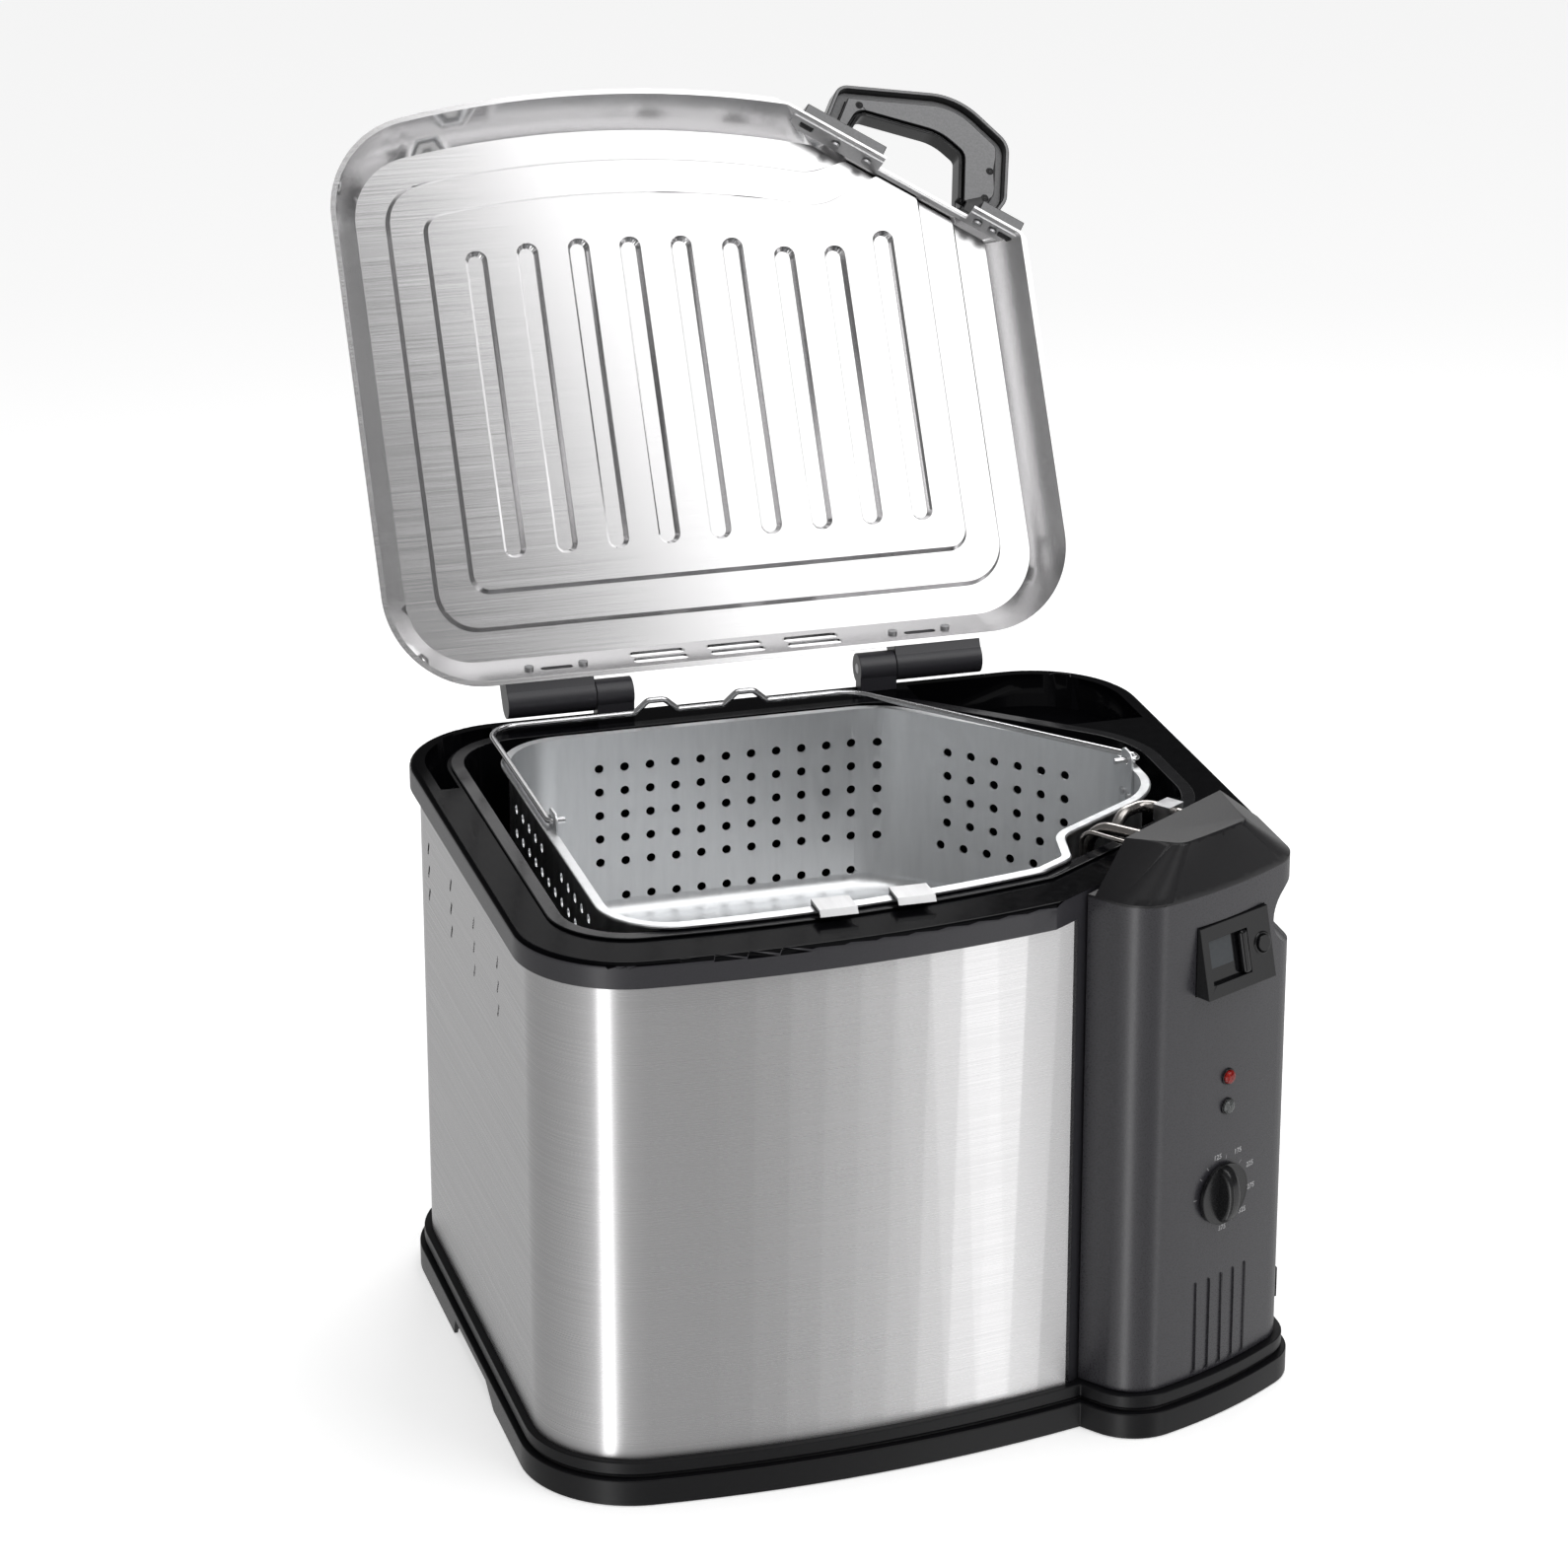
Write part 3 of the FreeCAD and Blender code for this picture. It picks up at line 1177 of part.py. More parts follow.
def thermostat_shaft():
    """Shaft between knob and thermostat."""
    shaft = doc.addObject("Part::Cylinder", "thermostat_shaft")
    shaft.Label = "thermostat_shaft"
    shaft.setExpression("Radius", "Sizes.shaft_diameter / 2")
    shaft.Height = 16 + s.knob_height * 0.6
    shaft.Placement = knob_place().multiply(Placement(Vector(0, 0, -16), Rotation()))
    parts.append(shaft)


def thermostat():
    """Thermostat behind the face: body, neck and bore for the shaft."""
    x, y = s.control_column, s.knob_level
    body = face_box(x - 16, y - 16, -20, 32, 32, 16)
    neck = face_cylinder(x, y, -5, 7, 30)
    bore = face_cylinder(x, y, -19, s.shaft_diameter / 2 + s.running_gap, 60)
    return named("thermostat", body.fuse(neck).cut(bore).common(tower_inside()))


def inner_pieces():
    """Trip switch, terminal block and lamps inside the tower."""
    trip = Part.makeCylinder(8, 9, Vector(s.cut_from_side * 0.55, -dock_back - s.tower_wall, 235), Y * -1)
    named("limit_thermostat", placed(trip, cut_frame))
    block = Part.makeBox(46, 13, 16, Vector(s.cut_from_side * 0.45, -dock_back - s.tower_wall - 13, 70))
    named("terminal_block", placed(block, cut_frame))
    lamps = [face_cylinder(lens_column, level, -6, 2.6, face_level(lens_column) + 3.4)
             for level in (s.ready_level, s.power_level)]
    named("indicator_lamps", Part.makeCompound(lamps))


def lenses():
    """Two indicator lenses."""
    for name, level in (("ready_lens", s.ready_level), ("power_lens", s.power_level)):
        lens = doc.addObject("Part::Cylinder", name)
        lens.Label = name
        lens.setExpression("Radius", "Sizes.lens_diameter / 2")
        lens.Height = s.tower_wall + 1.6
        depth = face_level(lens_column) - s.tower_wall
        lens.Placement = face_frame.multiply(Placement(Vector(lens_column, level, depth), Rotation()))
        parts.append(lens)


def cord_inlet():
    """Socket for the supply cord in the tower's right side."""
    block = inlet_block()
    cavity = Part.makeBox(20, 22, 14, Vector(side - 4, -115, 40.5))
    block = block.cut(cavity)
    for y in (-109, -99):
        block = block.fuse(Part.makeCylinder(2, 10, Vector(side - 4.2, y, 47.5), X))
    return named("cord_inlet", block)


# ---------------------------------------------------------------- lid, drawn shut
cut_lean = 6.0
lid_top = lip_level + s.lid_height


def lid_wall(grow, rise):
    """Solid inside the lid's sloping wall; grow moves it outwards, rise lifts its top."""
    low = lid_outline(s.lid_lip - grow, -grow, s.lid_corner - s.lid_lip + grow)
    high = lid_outline(s.lid_slope - grow, cut_lean - grow, s.lid_corner - s.lid_slope + grow)
    return Part.makeLoft([raised(low, lip_level), raised(high, lid_top + rise)], True, True)


def step_block(index, grow, level):
    """Prism over one of the lid's pressed steps, from level upwards."""
    inset = s.lid_slope + s.lid_band + (s.lid_terrace if index else 0) - grow
    corner, start, end = ((25, 15.6, 50.6), (12, 19.6, 71.2))[index]
    rings = []
    for rise, draft in ((0, s.lid_draft), (1.5, -s.lid_draft / 2)):
        wire = terrace_outline(inset + draft, corner + grow - draft, start, end, cut_lean - grow)
        rings.append(raised(wire, level + rise * s.lid_step))
    return Part.makeLoft(rings, True, True)


def rib_places():
    """(x, front end, rear end) of the ribs."""
    left, right, rear, _, apex = lid_sides(s.lid_slope + s.lid_band + s.lid_terrace)
    pitch = (right - left) / 9.78
    middle = (left + right) / 2 + 0.9
    count = int(s.rib_count)
    offsets = (-2.4, 0, 0.5, -0.7, -2.5, -6.1, -13.8, -15.6, -8.9)
    places = []
    for index in range(count):
        x = middle + pitch * (index - (count - 1) / 2)
        shorter = offsets[index % len(offsets)]
        places.append((x, front + s.lid_front + 84.5 - shorter, rear - 19.4))
    return places


def rib_block(x, start, end, grow, level):
    """Raised rib with leaning sides, standing on a level."""
    length = end - start
    rings = []
    for width, z in ((s.rib_width + 2 * grow, level), (s.rib_width - 4.4 + 2 * grow, level + s.rib_height)):
        slot = slot_prism(length - s.rib_width + width, width, 1)
        wire = next(f for f in slot.Faces if f.BoundBox.ZMax < 1e-6).OuterWire
        wire.rotate(Vector(0, 0, 0), Z, 90)
        wire.translate(Vector(x, (start + end) / 2, z))
        rings.append(wire)
    return Part.makeLoft(rings, True, True)


def vent_slots():
    """Six vent slots through the rear wall, and a smaller one over each hinge barrel."""
    slots = []
    middle = -s.hinge_offset - 1.4
    for rise in (0.31, 0.64):
        for column in (-1, 0, 1):
            slot = slot_prism(33.5, 7.2, 12)
            slots.append(on_rear_wall(slot, middle + 46.3 * column, rise))
    for pair in hinge_screw_places().values():
        slots.append(on_rear_wall(slot_prism(19, 4.6, 12), sum(pair) / 2, 0.36))
    return Part.makeCompound(slots)


def on_rear_wall(block, x, rise):
    """A block drawn upright, turned through the lid's rear wall at a share of its height."""
    lean = math.degrees(math.atan2(s.lid_height, s.lid_slope - s.lid_lip))
    block.translate(Vector(0, 0, -6))
    block.rotate(Vector(0, 0, 0), X, -lean)
    y = back - s.lid_back - s.lid_lip - (s.lid_slope - s.lid_lip) * rise
    block.translate(Vector(x, y, lip_level + s.lid_height * rise))
    return block


def lid_panel():
    """Pressed lid: lip, sloping wall, two steps down, ribs, slots and the notch for the tubes."""
    sheet_up = s.lid_sheet
    lip = prism(lid_outline(0, 0, s.lid_corner), lip_level, lip_level + sheet_up)
    outside = lid_wall(sheet_up * 1.15, sheet_up).common(everything_below(lid_top + sheet_up))
    inside = lid_wall(0, 0)
    for index in (0, 1):
        level = lid_top - s.lid_step * (index + 1)
        outside = outside.cut(step_block(index, -sheet_up, level + sheet_up))
        inside = inside.cut(step_block(index, 0, level))
    floor = lid_top - 2 * s.lid_step
    for x, start, end in rib_places():
        outside = outside.fuse(rib_block(x, start, end, sheet_up * 0.8, floor + sheet_up))
        inside = inside.fuse(rib_block(x, start, end, 0, floor - 0.001))
    panel = outside.fuse(lip).cut(inside)
    panel = panel.cut(tube_notch()).cut(vent_slots()).cut(handle_tabs(s.running_gap))
    panel = panel.cut(Part.makeCompound(lid_screw_shapes()))
    return named("lid_panel", panel, lid_pose)


notch_start, notch_width = 70, 60


def tube_notch():
    """Block cut from the lid's cut wall where the element's tubes pass."""
    notch = Part.makeBox(notch_width, 30, 12.4, Vector(notch_start, -14, lip_level - 0.6))
    return placed(notch, cut_frame)


def everything_below(level):
    """A block that holds everything below a level."""
    reach = 2 * s.body_width
    return Part.makeBox(2 * reach, 2 * reach, level + 100, Vector(-reach, -reach, -100))


def cut_wall_out(rise):
    """How far out the inner face of the lid's cut wall lies at a height above the lip."""
    return -cut_lean * rise / s.lid_height


def cut_bar(start, end, low, high, inner, outer):
    """Bar along the cut wall; inner and outer give its section as (out, rise) pairs."""
    section = [(cut_wall_out(low) + inner, low), (cut_wall_out(high) + inner, high)] + outer
    wire = Part.makePolygon([Vector(start, -out, lip_level + rise) for out, rise in section + section[:1]])
    return placed(Part.Face(wire).extrude(X * (end - start)), cut_frame)


def wall_screw(along, rise, head, length):
    """Pan-head screw through the cut wall, its head inside the lid."""
    inner = cut_wall_out(rise) - 1.5
    pan = Part.makeCylinder(head, 1.6, Vector(along, -inner, lip_level + rise), Y)
    shank = Part.makeCylinder(1.6, length, Vector(along, -inner, lip_level + rise), Y * -1)
    return placed(pan.fuse(shank), cut_frame)


handle_screw_spots = [(40, 9), (61, 9), (137, 9), (147, 9)]


def handle_tabs(play=0.0):
    """Two tabs of the handle's feet that reach through the cut wall, with play all round."""
    low, high = 6.8 - play, 10.4 + play
    ends = [cut_bar(start - play, start + 8 + play, low, high, -2.2 - play, [(2, high), (2, low)])
            for start in (16, 151)]
    return ends[0].fuse(ends[1])


def handle_screws():
    """Four screws that hold the handle's base to the lid."""
    screws = [wall_screw(along, rise, 2.9, 8) for along, rise in handle_screw_spots]
    named("handle_screws", Part.makeCompound(screws), lid_pose)


def lid_screw_shapes():
    """Every screw that passes through the lid's sheet."""
    screws = [wall_screw(along, rise, 2.9, 8) for along, rise in handle_screw_spots]
    return screws + [lid_hinge_screw(x) for pair in hinge_screw_places().values() for x in pair]


def handle_bracket():
    """Stiffening strip inside the cut wall."""
    low, high = 3.0, 15.5
    outer = [(cut_wall_out(high) - 1.5, high), (cut_wall_out(low) - 1.5, low)]
    strip = cut_bar(10, 170, low, high, 0, outer).common(lid_wall(0, 0))
    strip = strip.cut(tube_notch()).cut(handle_tabs(s.running_gap))
    for along, rise in handle_screw_spots:
        strip = strip.cut(wall_screw(along, rise, 2.9, 8))
    return named("handle_bracket", strip, lid_pose)


def lid_handle():
    """Carrying arch on two feet; grooves run along its underside."""
    wall_skin = s.lid_sheet * 1.18
    low, high = 5, 24.2
    feet = [cut_bar(start, end, low, high, wall_skin, [(9, high), (9, low)])
            for start, end in ((14.5, notch_start - 2), (notch_start + notch_width + 4, 162))]
    outer = outline([Vector(*p, 0) for p in ((30, -3), (146, -3), (150, -26), (137, -62), (96, -74), (28, -40))],
                    [0, 0, 12, 14, 45, 9])
    hole = outline([Vector(*p, 0) for p in ((45, 1), (127, 1), (112, -38), (96, -42), (48, -29))],
                   [0, 0, 5, 30, 5])
    loop = prism(outer, 0, s.handle_thick).cut(prism(hole, -1, s.handle_thick + 1))
    loop = loop.cut(ring(grown(outer, -2.4), grown(outer, -8.4), -1, 6))
    loop = loop.cut(ring(grown(hole, 3.6), grown(hole, 2), -1, 4))
    for x, y in ((44.6, -34.2), (133, -38), (137, -20)):
        spot = Vector(x, y, -0.6)
        loop = loop.fuse(Part.makeCylinder(1.9, 1, spot)).cut(Part.makeCylinder(1.1, 0.8, spot))
    loop.rotate(Vector(0, -4, 0), X, -s.handle_tilt)
    loop.translate(Vector(0, 0, lip_level + 25.6))
    for start, end in ((31, 45), (127, 145)):
        loop = loop.fuse(Part.makeBox(end - start, 6, 14, Vector(start, -9, lip_level + 20)))
    handle = placed(loop, cut_frame).fuse(feet[0]).fuse(feet[1]).cut(lid_hull()).fuse(handle_tabs())
    for along, rise in handle_screw_spots:
        handle = handle.cut(wall_screw(along, rise, 2.9, 8))
    return named("lid_handle", handle, lid_pose)


# ---------------------------------------------------------------- hinge on the lid
def lid_hull():
    """The lid's outside, filled in, for seating the hinge barrels."""
    lip = prism(lid_outline(0, 0, s.lid_corner), lip_level - 1, lip_level + s.lid_sheet)
    return lid_wall(s.lid_sheet * 1.15, s.lid_sheet).fuse(lip)


def rear_wall_y(rise):
    """Y of the rear wall's outer face at a height above the lip."""
    lean = (s.lid_slope - s.lid_lip) / s.lid_height
    return back - s.lid_back - s.lid_lip - lean * rise + s.lid_sheet * 1.15


def hinge_screw_places():
    """X of the two screws of each barrel."""
    places = {}
    for name, start, barrel, way in hinge_sides():
        centre = barrel + s.barrel_length / 2 - way * 7
        places[name] = (centre - 22.9 * 0.7, centre + 22.9 * 0.7)
    return places


def hinge_barrels():
    """Barrels screwed to the lid's rear wall, turning on the pins."""
    hull = lid_hull()
    for name, start, barrel, way in hinge_sides():
        profile = [(rear_wall_y(0.4) - 3, lip_level + 0.3), (rear_wall_y(17) - 3, hinge_z + s.hinge_round),
                   (hinge_y, hinge_z + s.hinge_round), (hinge_y, lip_level + 0.3)]
        wire = Part.makePolygon([Vector(barrel, y, z) for y, z in profile + profile[:1]])
        block = Part.Face(wire).extrude(X * s.barrel_length)
        block = block.fuse(Part.makeCylinder(s.hinge_round, s.barrel_length, Vector(barrel, hinge_y, hinge_z), X))
        bore_radius = s.pin_diameter / 2 + s.pin_clearance
        depth = s.barrel_length * 0.6 + s.running_gap + 2
        bore_start = barrel - 1 if way > 0 else barrel + s.barrel_length - depth + 1
        block = block.cut(Part.makeCylinder(bore_radius, depth, Vector(bore_start, hinge_y, hinge_z), X))
        block = block.cut(hull)
        for x in hinge_screw_places()[name]:
            block = block.cut(lid_hinge_screw(x))
        named(f"hinge_barrel_{name}", block, lid_pose)


def lid_hinge_screw(x):
    """Screw through the rear wall, square to it, its head inside the lid."""
    lean = math.degrees(math.atan2(s.lid_slope - s.lid_lip, s.lid_height))
    rise = 10.5
    head = Part.makeCylinder(2.7, 1.5, Vector(0, 0, -1.5))
    screw = head.fuse(Part.makeCylinder(1.5, 6, Vector(0, 0, 0)))
    screw.rotate(Vector(0, 0, 0), X, -90 + lean)
    y = back - s.lid_back - s.lid_lip - (s.lid_slope - s.lid_lip) * rise / s.lid_height
    screw.translate(Vector(x, y, lip_level + rise))
    return screw


def lid_hinge_screws():
    """Two screws through the rear wall into each barrel."""
    screws = [lid_hinge_screw(x) for pair in hinge_screw_places().values() for x in pair]
    named("lid_hinge_screws", Part.makeCompound(screws), lid_pose)


# ---------------------------------------------------------------- build, check, write
def build_all():
    """Every sub-part, body by body."""
    for make in (base_tray, rubber_feet, base_screws, body_shell, shell_liner, dock_strip, top_rim,
                 hinge_knuckles, hinge_pins, oil_pot, fry_basket, bail_ears, ear_rivets, basket_hooks,
                 bail_handle, heating_element, element_supports, element_clamp, sensor_probe,
                 control_housing, control_rear_cover, control_screws, control_cap, timer_bay,
                 timer_case, timer_lens, timer_button, battery_door, temperature_knob,
                 thermostat_shaft, thermostat, inner_pieces, lenses, cord_inlet, lid_panel,
                 handle_bracket, lid_handle, handle_screws, hinge_barrels, lid_hinge_screws):
        make()


def check_and_write():
    """Stop on any broken object; write one STEP file per sub-part."""
    doc.recompute()
    for item in doc.Objects:
        if "Invalid" in item.State or "Error" in item.State:
            raise RuntimeError(f"{item.Label}: {item.State}")
    for part in parts:
        if part.Shape.isNull() or not part.Shape.isValid() or not part.Shape.Solids:
            raise RuntimeError(f"{part.Label}: bad shape")
    os.makedirs("parts", exist_ok=True)
    for part in parts:
        part.Shape.exportStep(f"parts/{part.Label}.step")
    print(len(parts), "sub-parts written")


build_all()
check_and_write()
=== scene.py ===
# %% [markdown]
# # A deep fryer with its lid open
#
# This lesson dresses a finished CAD model of a countertop deep fryer: steel body, plastic
# tray, rim and control tower, an enamelled oil pot, a perforated basket and a lid that stands
# open behind it. The model comes in as fixed nodes, in metres, each already in its place. What
# is left for Blender is what CAD leaves out: soft edges, brushed and moulded surfaces, domed
# lenses, the dial's print, and the light that shows them.

# %% Load the fixed model
import json
from math import atan2, cos, degrees, pi, radians, sin

import bpy
from mathutils import Matrix, Vector


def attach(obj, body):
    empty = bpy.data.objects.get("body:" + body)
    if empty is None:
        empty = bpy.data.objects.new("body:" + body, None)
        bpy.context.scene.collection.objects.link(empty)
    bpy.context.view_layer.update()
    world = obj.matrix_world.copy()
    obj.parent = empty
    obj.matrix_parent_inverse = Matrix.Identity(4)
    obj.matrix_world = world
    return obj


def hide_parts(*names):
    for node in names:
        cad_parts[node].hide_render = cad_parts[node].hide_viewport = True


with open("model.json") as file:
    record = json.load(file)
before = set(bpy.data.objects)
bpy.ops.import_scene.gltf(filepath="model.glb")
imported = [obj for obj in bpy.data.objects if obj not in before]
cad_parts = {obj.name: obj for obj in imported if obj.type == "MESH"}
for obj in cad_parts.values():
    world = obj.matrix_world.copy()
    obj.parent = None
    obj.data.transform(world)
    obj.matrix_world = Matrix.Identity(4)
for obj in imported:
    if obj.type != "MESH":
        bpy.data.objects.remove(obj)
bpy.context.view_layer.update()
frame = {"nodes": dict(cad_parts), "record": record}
nodes = frame["nodes"]
body_of = {node: body for body, members in frame["record"]["behaviour"]["bodies"].items()
           for node in members}
slot_of = {part["node"]: part["material_slot"] for part in frame["record"]["subparts"]}
MM = 0.001

# %% [markdown]
# ## The camera
#
# The fryer is seen from its front left and from above, from about three metres away with a
# long lens, so its upright edges stay nearly parallel. A camera looks down its own -Z axis, so
# it is built from three turns: up to the horizon and down again by the tilt, round by the turn,
# and a hair of roll. Setting one matrix keeps the three in the right order.

# %% Camera
CAMERA_TURN, CAMERA_TILT, CAMERA_ROLL = -16.04, 21.17, -0.09
EYE = Vector((-0.7762, -2.5842, 1.3717))
SENSOR, FOCAL_LENGTH = 36, 120.8

camera = bpy.data.objects.new("Camera", bpy.data.cameras.new("Camera"))
bpy.context.scene.collection.objects.link(camera)
camera.data.sensor_width = SENSOR
camera.data.lens = FOCAL_LENGTH
camera.matrix_world = (Matrix.Translation(EYE)
                       @ Matrix.Rotation(radians(CAMERA_TURN), 4, "Z")
                       @ Matrix.Rotation(radians(90 - CAMERA_TILT), 4, "X")
                       @ Matrix.Rotation(radians(CAMERA_ROLL), 4, "Z"))
bpy.context.scene.camera = camera
print("camera", [round(v, 3) for v in camera.location], "lens", camera.data.lens)

# %% [markdown]
# ## The room
#
# Brushed steel shows little colour of its own: it shows the room, drawn out across the brush
# lines. So the room is the first thing to design. It could be built from white walls and lamp
# boxes, but then every wall would need its own light. A world shader is simpler: it gives each
# direction a brightness. Low down, where the upright steel looks, the room is pale with two
# narrow bright doors, one to the left of the front and one to the right. Higher up it is
# darker, and behind the fryer it is dark, so black glossy tops stay black. The camera itself
# and the rays that pass through clear plastic see plain white.

# %% Helpers for shader trees
def ramp(tree, source, stops):
    """A colour ramp of grey levels; stops are (position, level) pairs."""
    node = tree.nodes.new("ShaderNodeValToRGB")
    elements = node.color_ramp.elements
    elements[0].position, elements[0].color = stops[0][0], (*[stops[0][1]] * 3, 1)
    elements[1].position, elements[1].color = stops[-1][0], (*[stops[-1][1]] * 3, 1)
    for position, level in stops[1:-1]:
        elements.new(position).color = (level, level, level, 1)
    tree.links.new(source, node.inputs["Fac"])
    return node.outputs["Color"]


def maths(tree, operation, *values):
    """A math node; each value is a socket or a number."""
    node = tree.nodes.new("ShaderNodeMath")
    node.operation = operation
    for socket, value in zip(node.inputs, values):
        if hasattr(value, "links"):
            tree.links.new(value, socket)
        else:
            socket.default_value = value
    return node.outputs[0]


def background(tree, strength):
    """A white background shader of that strength."""
    node = tree.nodes.new("ShaderNodeBackground")
    node.inputs["Color"].default_value = (1, 1, 1, 1)
    node.inputs["Strength"].default_value = strength
    return node


def mixed(tree, pick, first, second):
    """A mix of two shaders: the first where pick is 0, the second where it is 1."""
    node = tree.nodes.new("ShaderNodeMixShader")
    for socket, source in zip(node.inputs, (pick, first, second)):
        tree.links.new(source, socket)
    return node.outputs[0]


print("shader helpers ready")

# %% World
# Each pair is degrees round from the front, to the right, and how bright the room is there.
LOW_ROOM = [(-180, 0.68), (-160, 0.62), (-148, 0.49), (-120, 0.50), (-95, 0.58), (-74, 0.70),
            (-57, 0.92), (-49, 1.3), (-45, 3.4), (-36, 3.4), (-32, 1.2), (-24, 0.78), (-12, 0.64),
            (4, 0.56), (13, 0.49), (20, 0.58), (26, 0.69), (31, 0.74), (34.0, 0.92), (36.2, 3.3),
            (38.3, 3.3), (40.5, 1.0), (47, 0.82), (60, 1.0), (85, 0.9), (120, 0.6), (180, 0.68)]
HIGH_ROOM = [(-180, 0.10), (-125, 0.14), (-70, 0.20), (0, 0.22), (30, 0.25), (60, 0.12),
             (110, 0.10), (180, 0.10)]
BRIGHTEST = 4.0
LOW_ENDS, HIGH_STARTS = -0.05, 0.10
SOFT_LEVEL, WHITE_LEVEL = 0.42, 1.0


def turn_stops(room):
    """Ramp stops from a room's pairs: the whole turn is 0 to 1, and so is the brightness."""
    return [((way + 180) / 360, level / BRIGHTEST) for way, level in room]


world = bpy.data.worlds.new("Studio")
bpy.context.scene.world = world
world.use_nodes = True
sky = world.node_tree
sky.nodes.clear()
sky_place = sky.nodes.new("ShaderNodeTexCoord")
sky_split = sky.nodes.new("ShaderNodeSeparateXYZ")
sky.links.new(sky_place.outputs["Generated"], sky_split.inputs[0])
sky_x, sky_y, sky_z = sky_split.outputs
turn = maths(sky, "ARCTAN2", sky_x, maths(sky, "MULTIPLY", sky_y, -1.0))
turn = maths(sky, "MULTIPLY_ADD", turn, 1 / (2 * pi), 0.5)
rise = sky.nodes.new("ShaderNodeMapRange")
rise.inputs["From Min"].default_value = LOW_ENDS
rise.inputs["From Max"].default_value = HIGH_STARTS
sky.links.new(sky_z, rise.inputs["Value"])
room = sky.nodes.new("ShaderNodeMix")
room.data_type = "RGBA"
sky.links.new(rise.outputs[0], room.inputs["Factor"])
sky.links.new(ramp(sky, turn, turn_stops(LOW_ROOM)), room.inputs["A"])
sky.links.new(ramp(sky, turn, turn_stops(HIGH_ROOM)), room.inputs["B"])
room_light = background(sky, BRIGHTEST)
sky.links.new(room.outputs["Result"], room_light.inputs["Color"])
soft_light, white_light = background(sky, SOFT_LEVEL), background(sky, WHITE_LEVEL)
sky_path = sky.nodes.new("ShaderNodeLightPath").outputs
by_gloss = mixed(sky, sky_path["Is Glossy Ray"], soft_light.outputs[0], room_light.outputs[0])
seen = maths(sky, "MAXIMUM", sky_path["Is Camera Ray"], sky_path["Is Transmission Ray"])
by_sight = mixed(sky, seen, by_gloss, white_light.outputs[0])
sky_out = sky.nodes.new("ShaderNodeOutputWorld")
sky.links.new(by_sight, sky_out.inputs["Surface"])
print("world:", len(sky.nodes), "nodes")

# %% [markdown]
# ## Lamps
#
# Three soft boxes do the rest. One stands in front and to the right, high up, where the inside
# of the open lid looks: its left edge is what makes the lid run from grey on its left to white
# on its right. One hangs overhead and lights the tops. The last stands behind, where the
# tower's sloping cap looks, and puts a sheen on it. An area lamp's brightness is its power over
# its area, so the power is worked out from the brightness that is wanted.

# %% Soft boxes
bpy.context.scene.view_settings.view_transform = "Standard"


def soft_box(name, place, size, brightness, aim):
    """A rectangular lamp of that width and height at place, turned towards aim."""
    lamp = bpy.data.lights.new(name, "AREA")
    lamp.shape = "RECTANGLE"
    lamp.size, lamp.size_y = size
    lamp.energy = brightness * pi * size[0] * size[1]
    box = bpy.data.objects.new(name, lamp)
    bpy.context.scene.collection.objects.link(box)
    ray = Vector(aim) - Vector(place)
    box.matrix_world = (Matrix.Translation(place)
                        @ ray.to_track_quat("-Z", "Y").to_matrix().to_4x4())
    return box


lamps = [
    soft_box("Front_box", (1.06, -1.20, 1.90), (1.25, 1.30), 2.1, (0.35, 0.20, 0.45)),
    soft_box("Top_box", (0.10, -0.35, 2.30), (1.60, 1.40), 1.5, (0.0, 0.0, 0.3)),
    soft_box("Rear_box", (0.48, 0.92, 1.30), (0.90, 0.60), 4.5, (0.157, -0.15, 0.34)),
]
print([f"{lamp.name} {lamp.data.energy:.1f} W" for lamp in lamps])

# %% [markdown]
# ## The floor
#
# The fryer stands on pale paper that keeps its shadow. The paper would turn the low part of
# every reflection into one flat grey, so it is left out of glossy rays, and the steel sees the
# room down there too. A little glow for the camera only lifts the paper to white.

# %% Floor
PAPER_WIDTH, PAPER_DROP = 14, 0.0004
PAPER_TONE, PAPER_GLOW = 0.86, 0.52

bpy.ops.object.select_all(action="DESELECT")
bpy.ops.mesh.primitive_plane_add(size=PAPER_WIDTH, location=(0, 0, -PAPER_DROP))
floor = bpy.context.object
floor.name = "Floor"
floor_finish = bpy.data.materials.new("Pale_floor")
floor_finish.use_nodes = True
paper_tree = floor_finish.node_tree
paper_tree.nodes.clear()
paper = paper_tree.nodes.new("ShaderNodeBsdfDiffuse")
paper.inputs["Color"].default_value = (PAPER_TONE, PAPER_TONE, PAPER_TONE, 1)
glow = paper_tree.nodes.new("ShaderNodeEmission")
glow.inputs["Strength"].default_value = PAPER_GLOW
glowing = paper_tree.nodes.new("ShaderNodeAddShader")
paper_tree.links.new(paper.outputs[0], glowing.inputs[0])
paper_tree.links.new(glow.outputs[0], glowing.inputs[1])
paper_path = paper_tree.nodes.new("ShaderNodeLightPath")
paper_out = paper_tree.nodes.new("ShaderNodeOutputMaterial")
paper_tree.links.new(mixed(paper_tree, paper_path.outputs["Is Camera Ray"],
                           paper.outputs[0], glowing.outputs[0]), paper_out.inputs["Surface"])
floor.data.materials.append(floor_finish)
floor.visible_glossy = False
print("floor", [round(v, 2) for v in floor.dimensions])

# %% [markdown]
# ## Finishes
#
# Every surface needs more than a colour. A finish here starts as one Principled shader with its
# plain numbers set on its own sockets, and then gets what makes it real: grain or brush lines
# that move its roughness and its bump, and a little drift of colour. All patterns are drawn in
# object coordinates, in metres, so a scale of 1000 is about one grain per millimetre.

# %% One shader and its pattern
NOISE_LOW, NOISE_HIGH = 0.3, 0.7


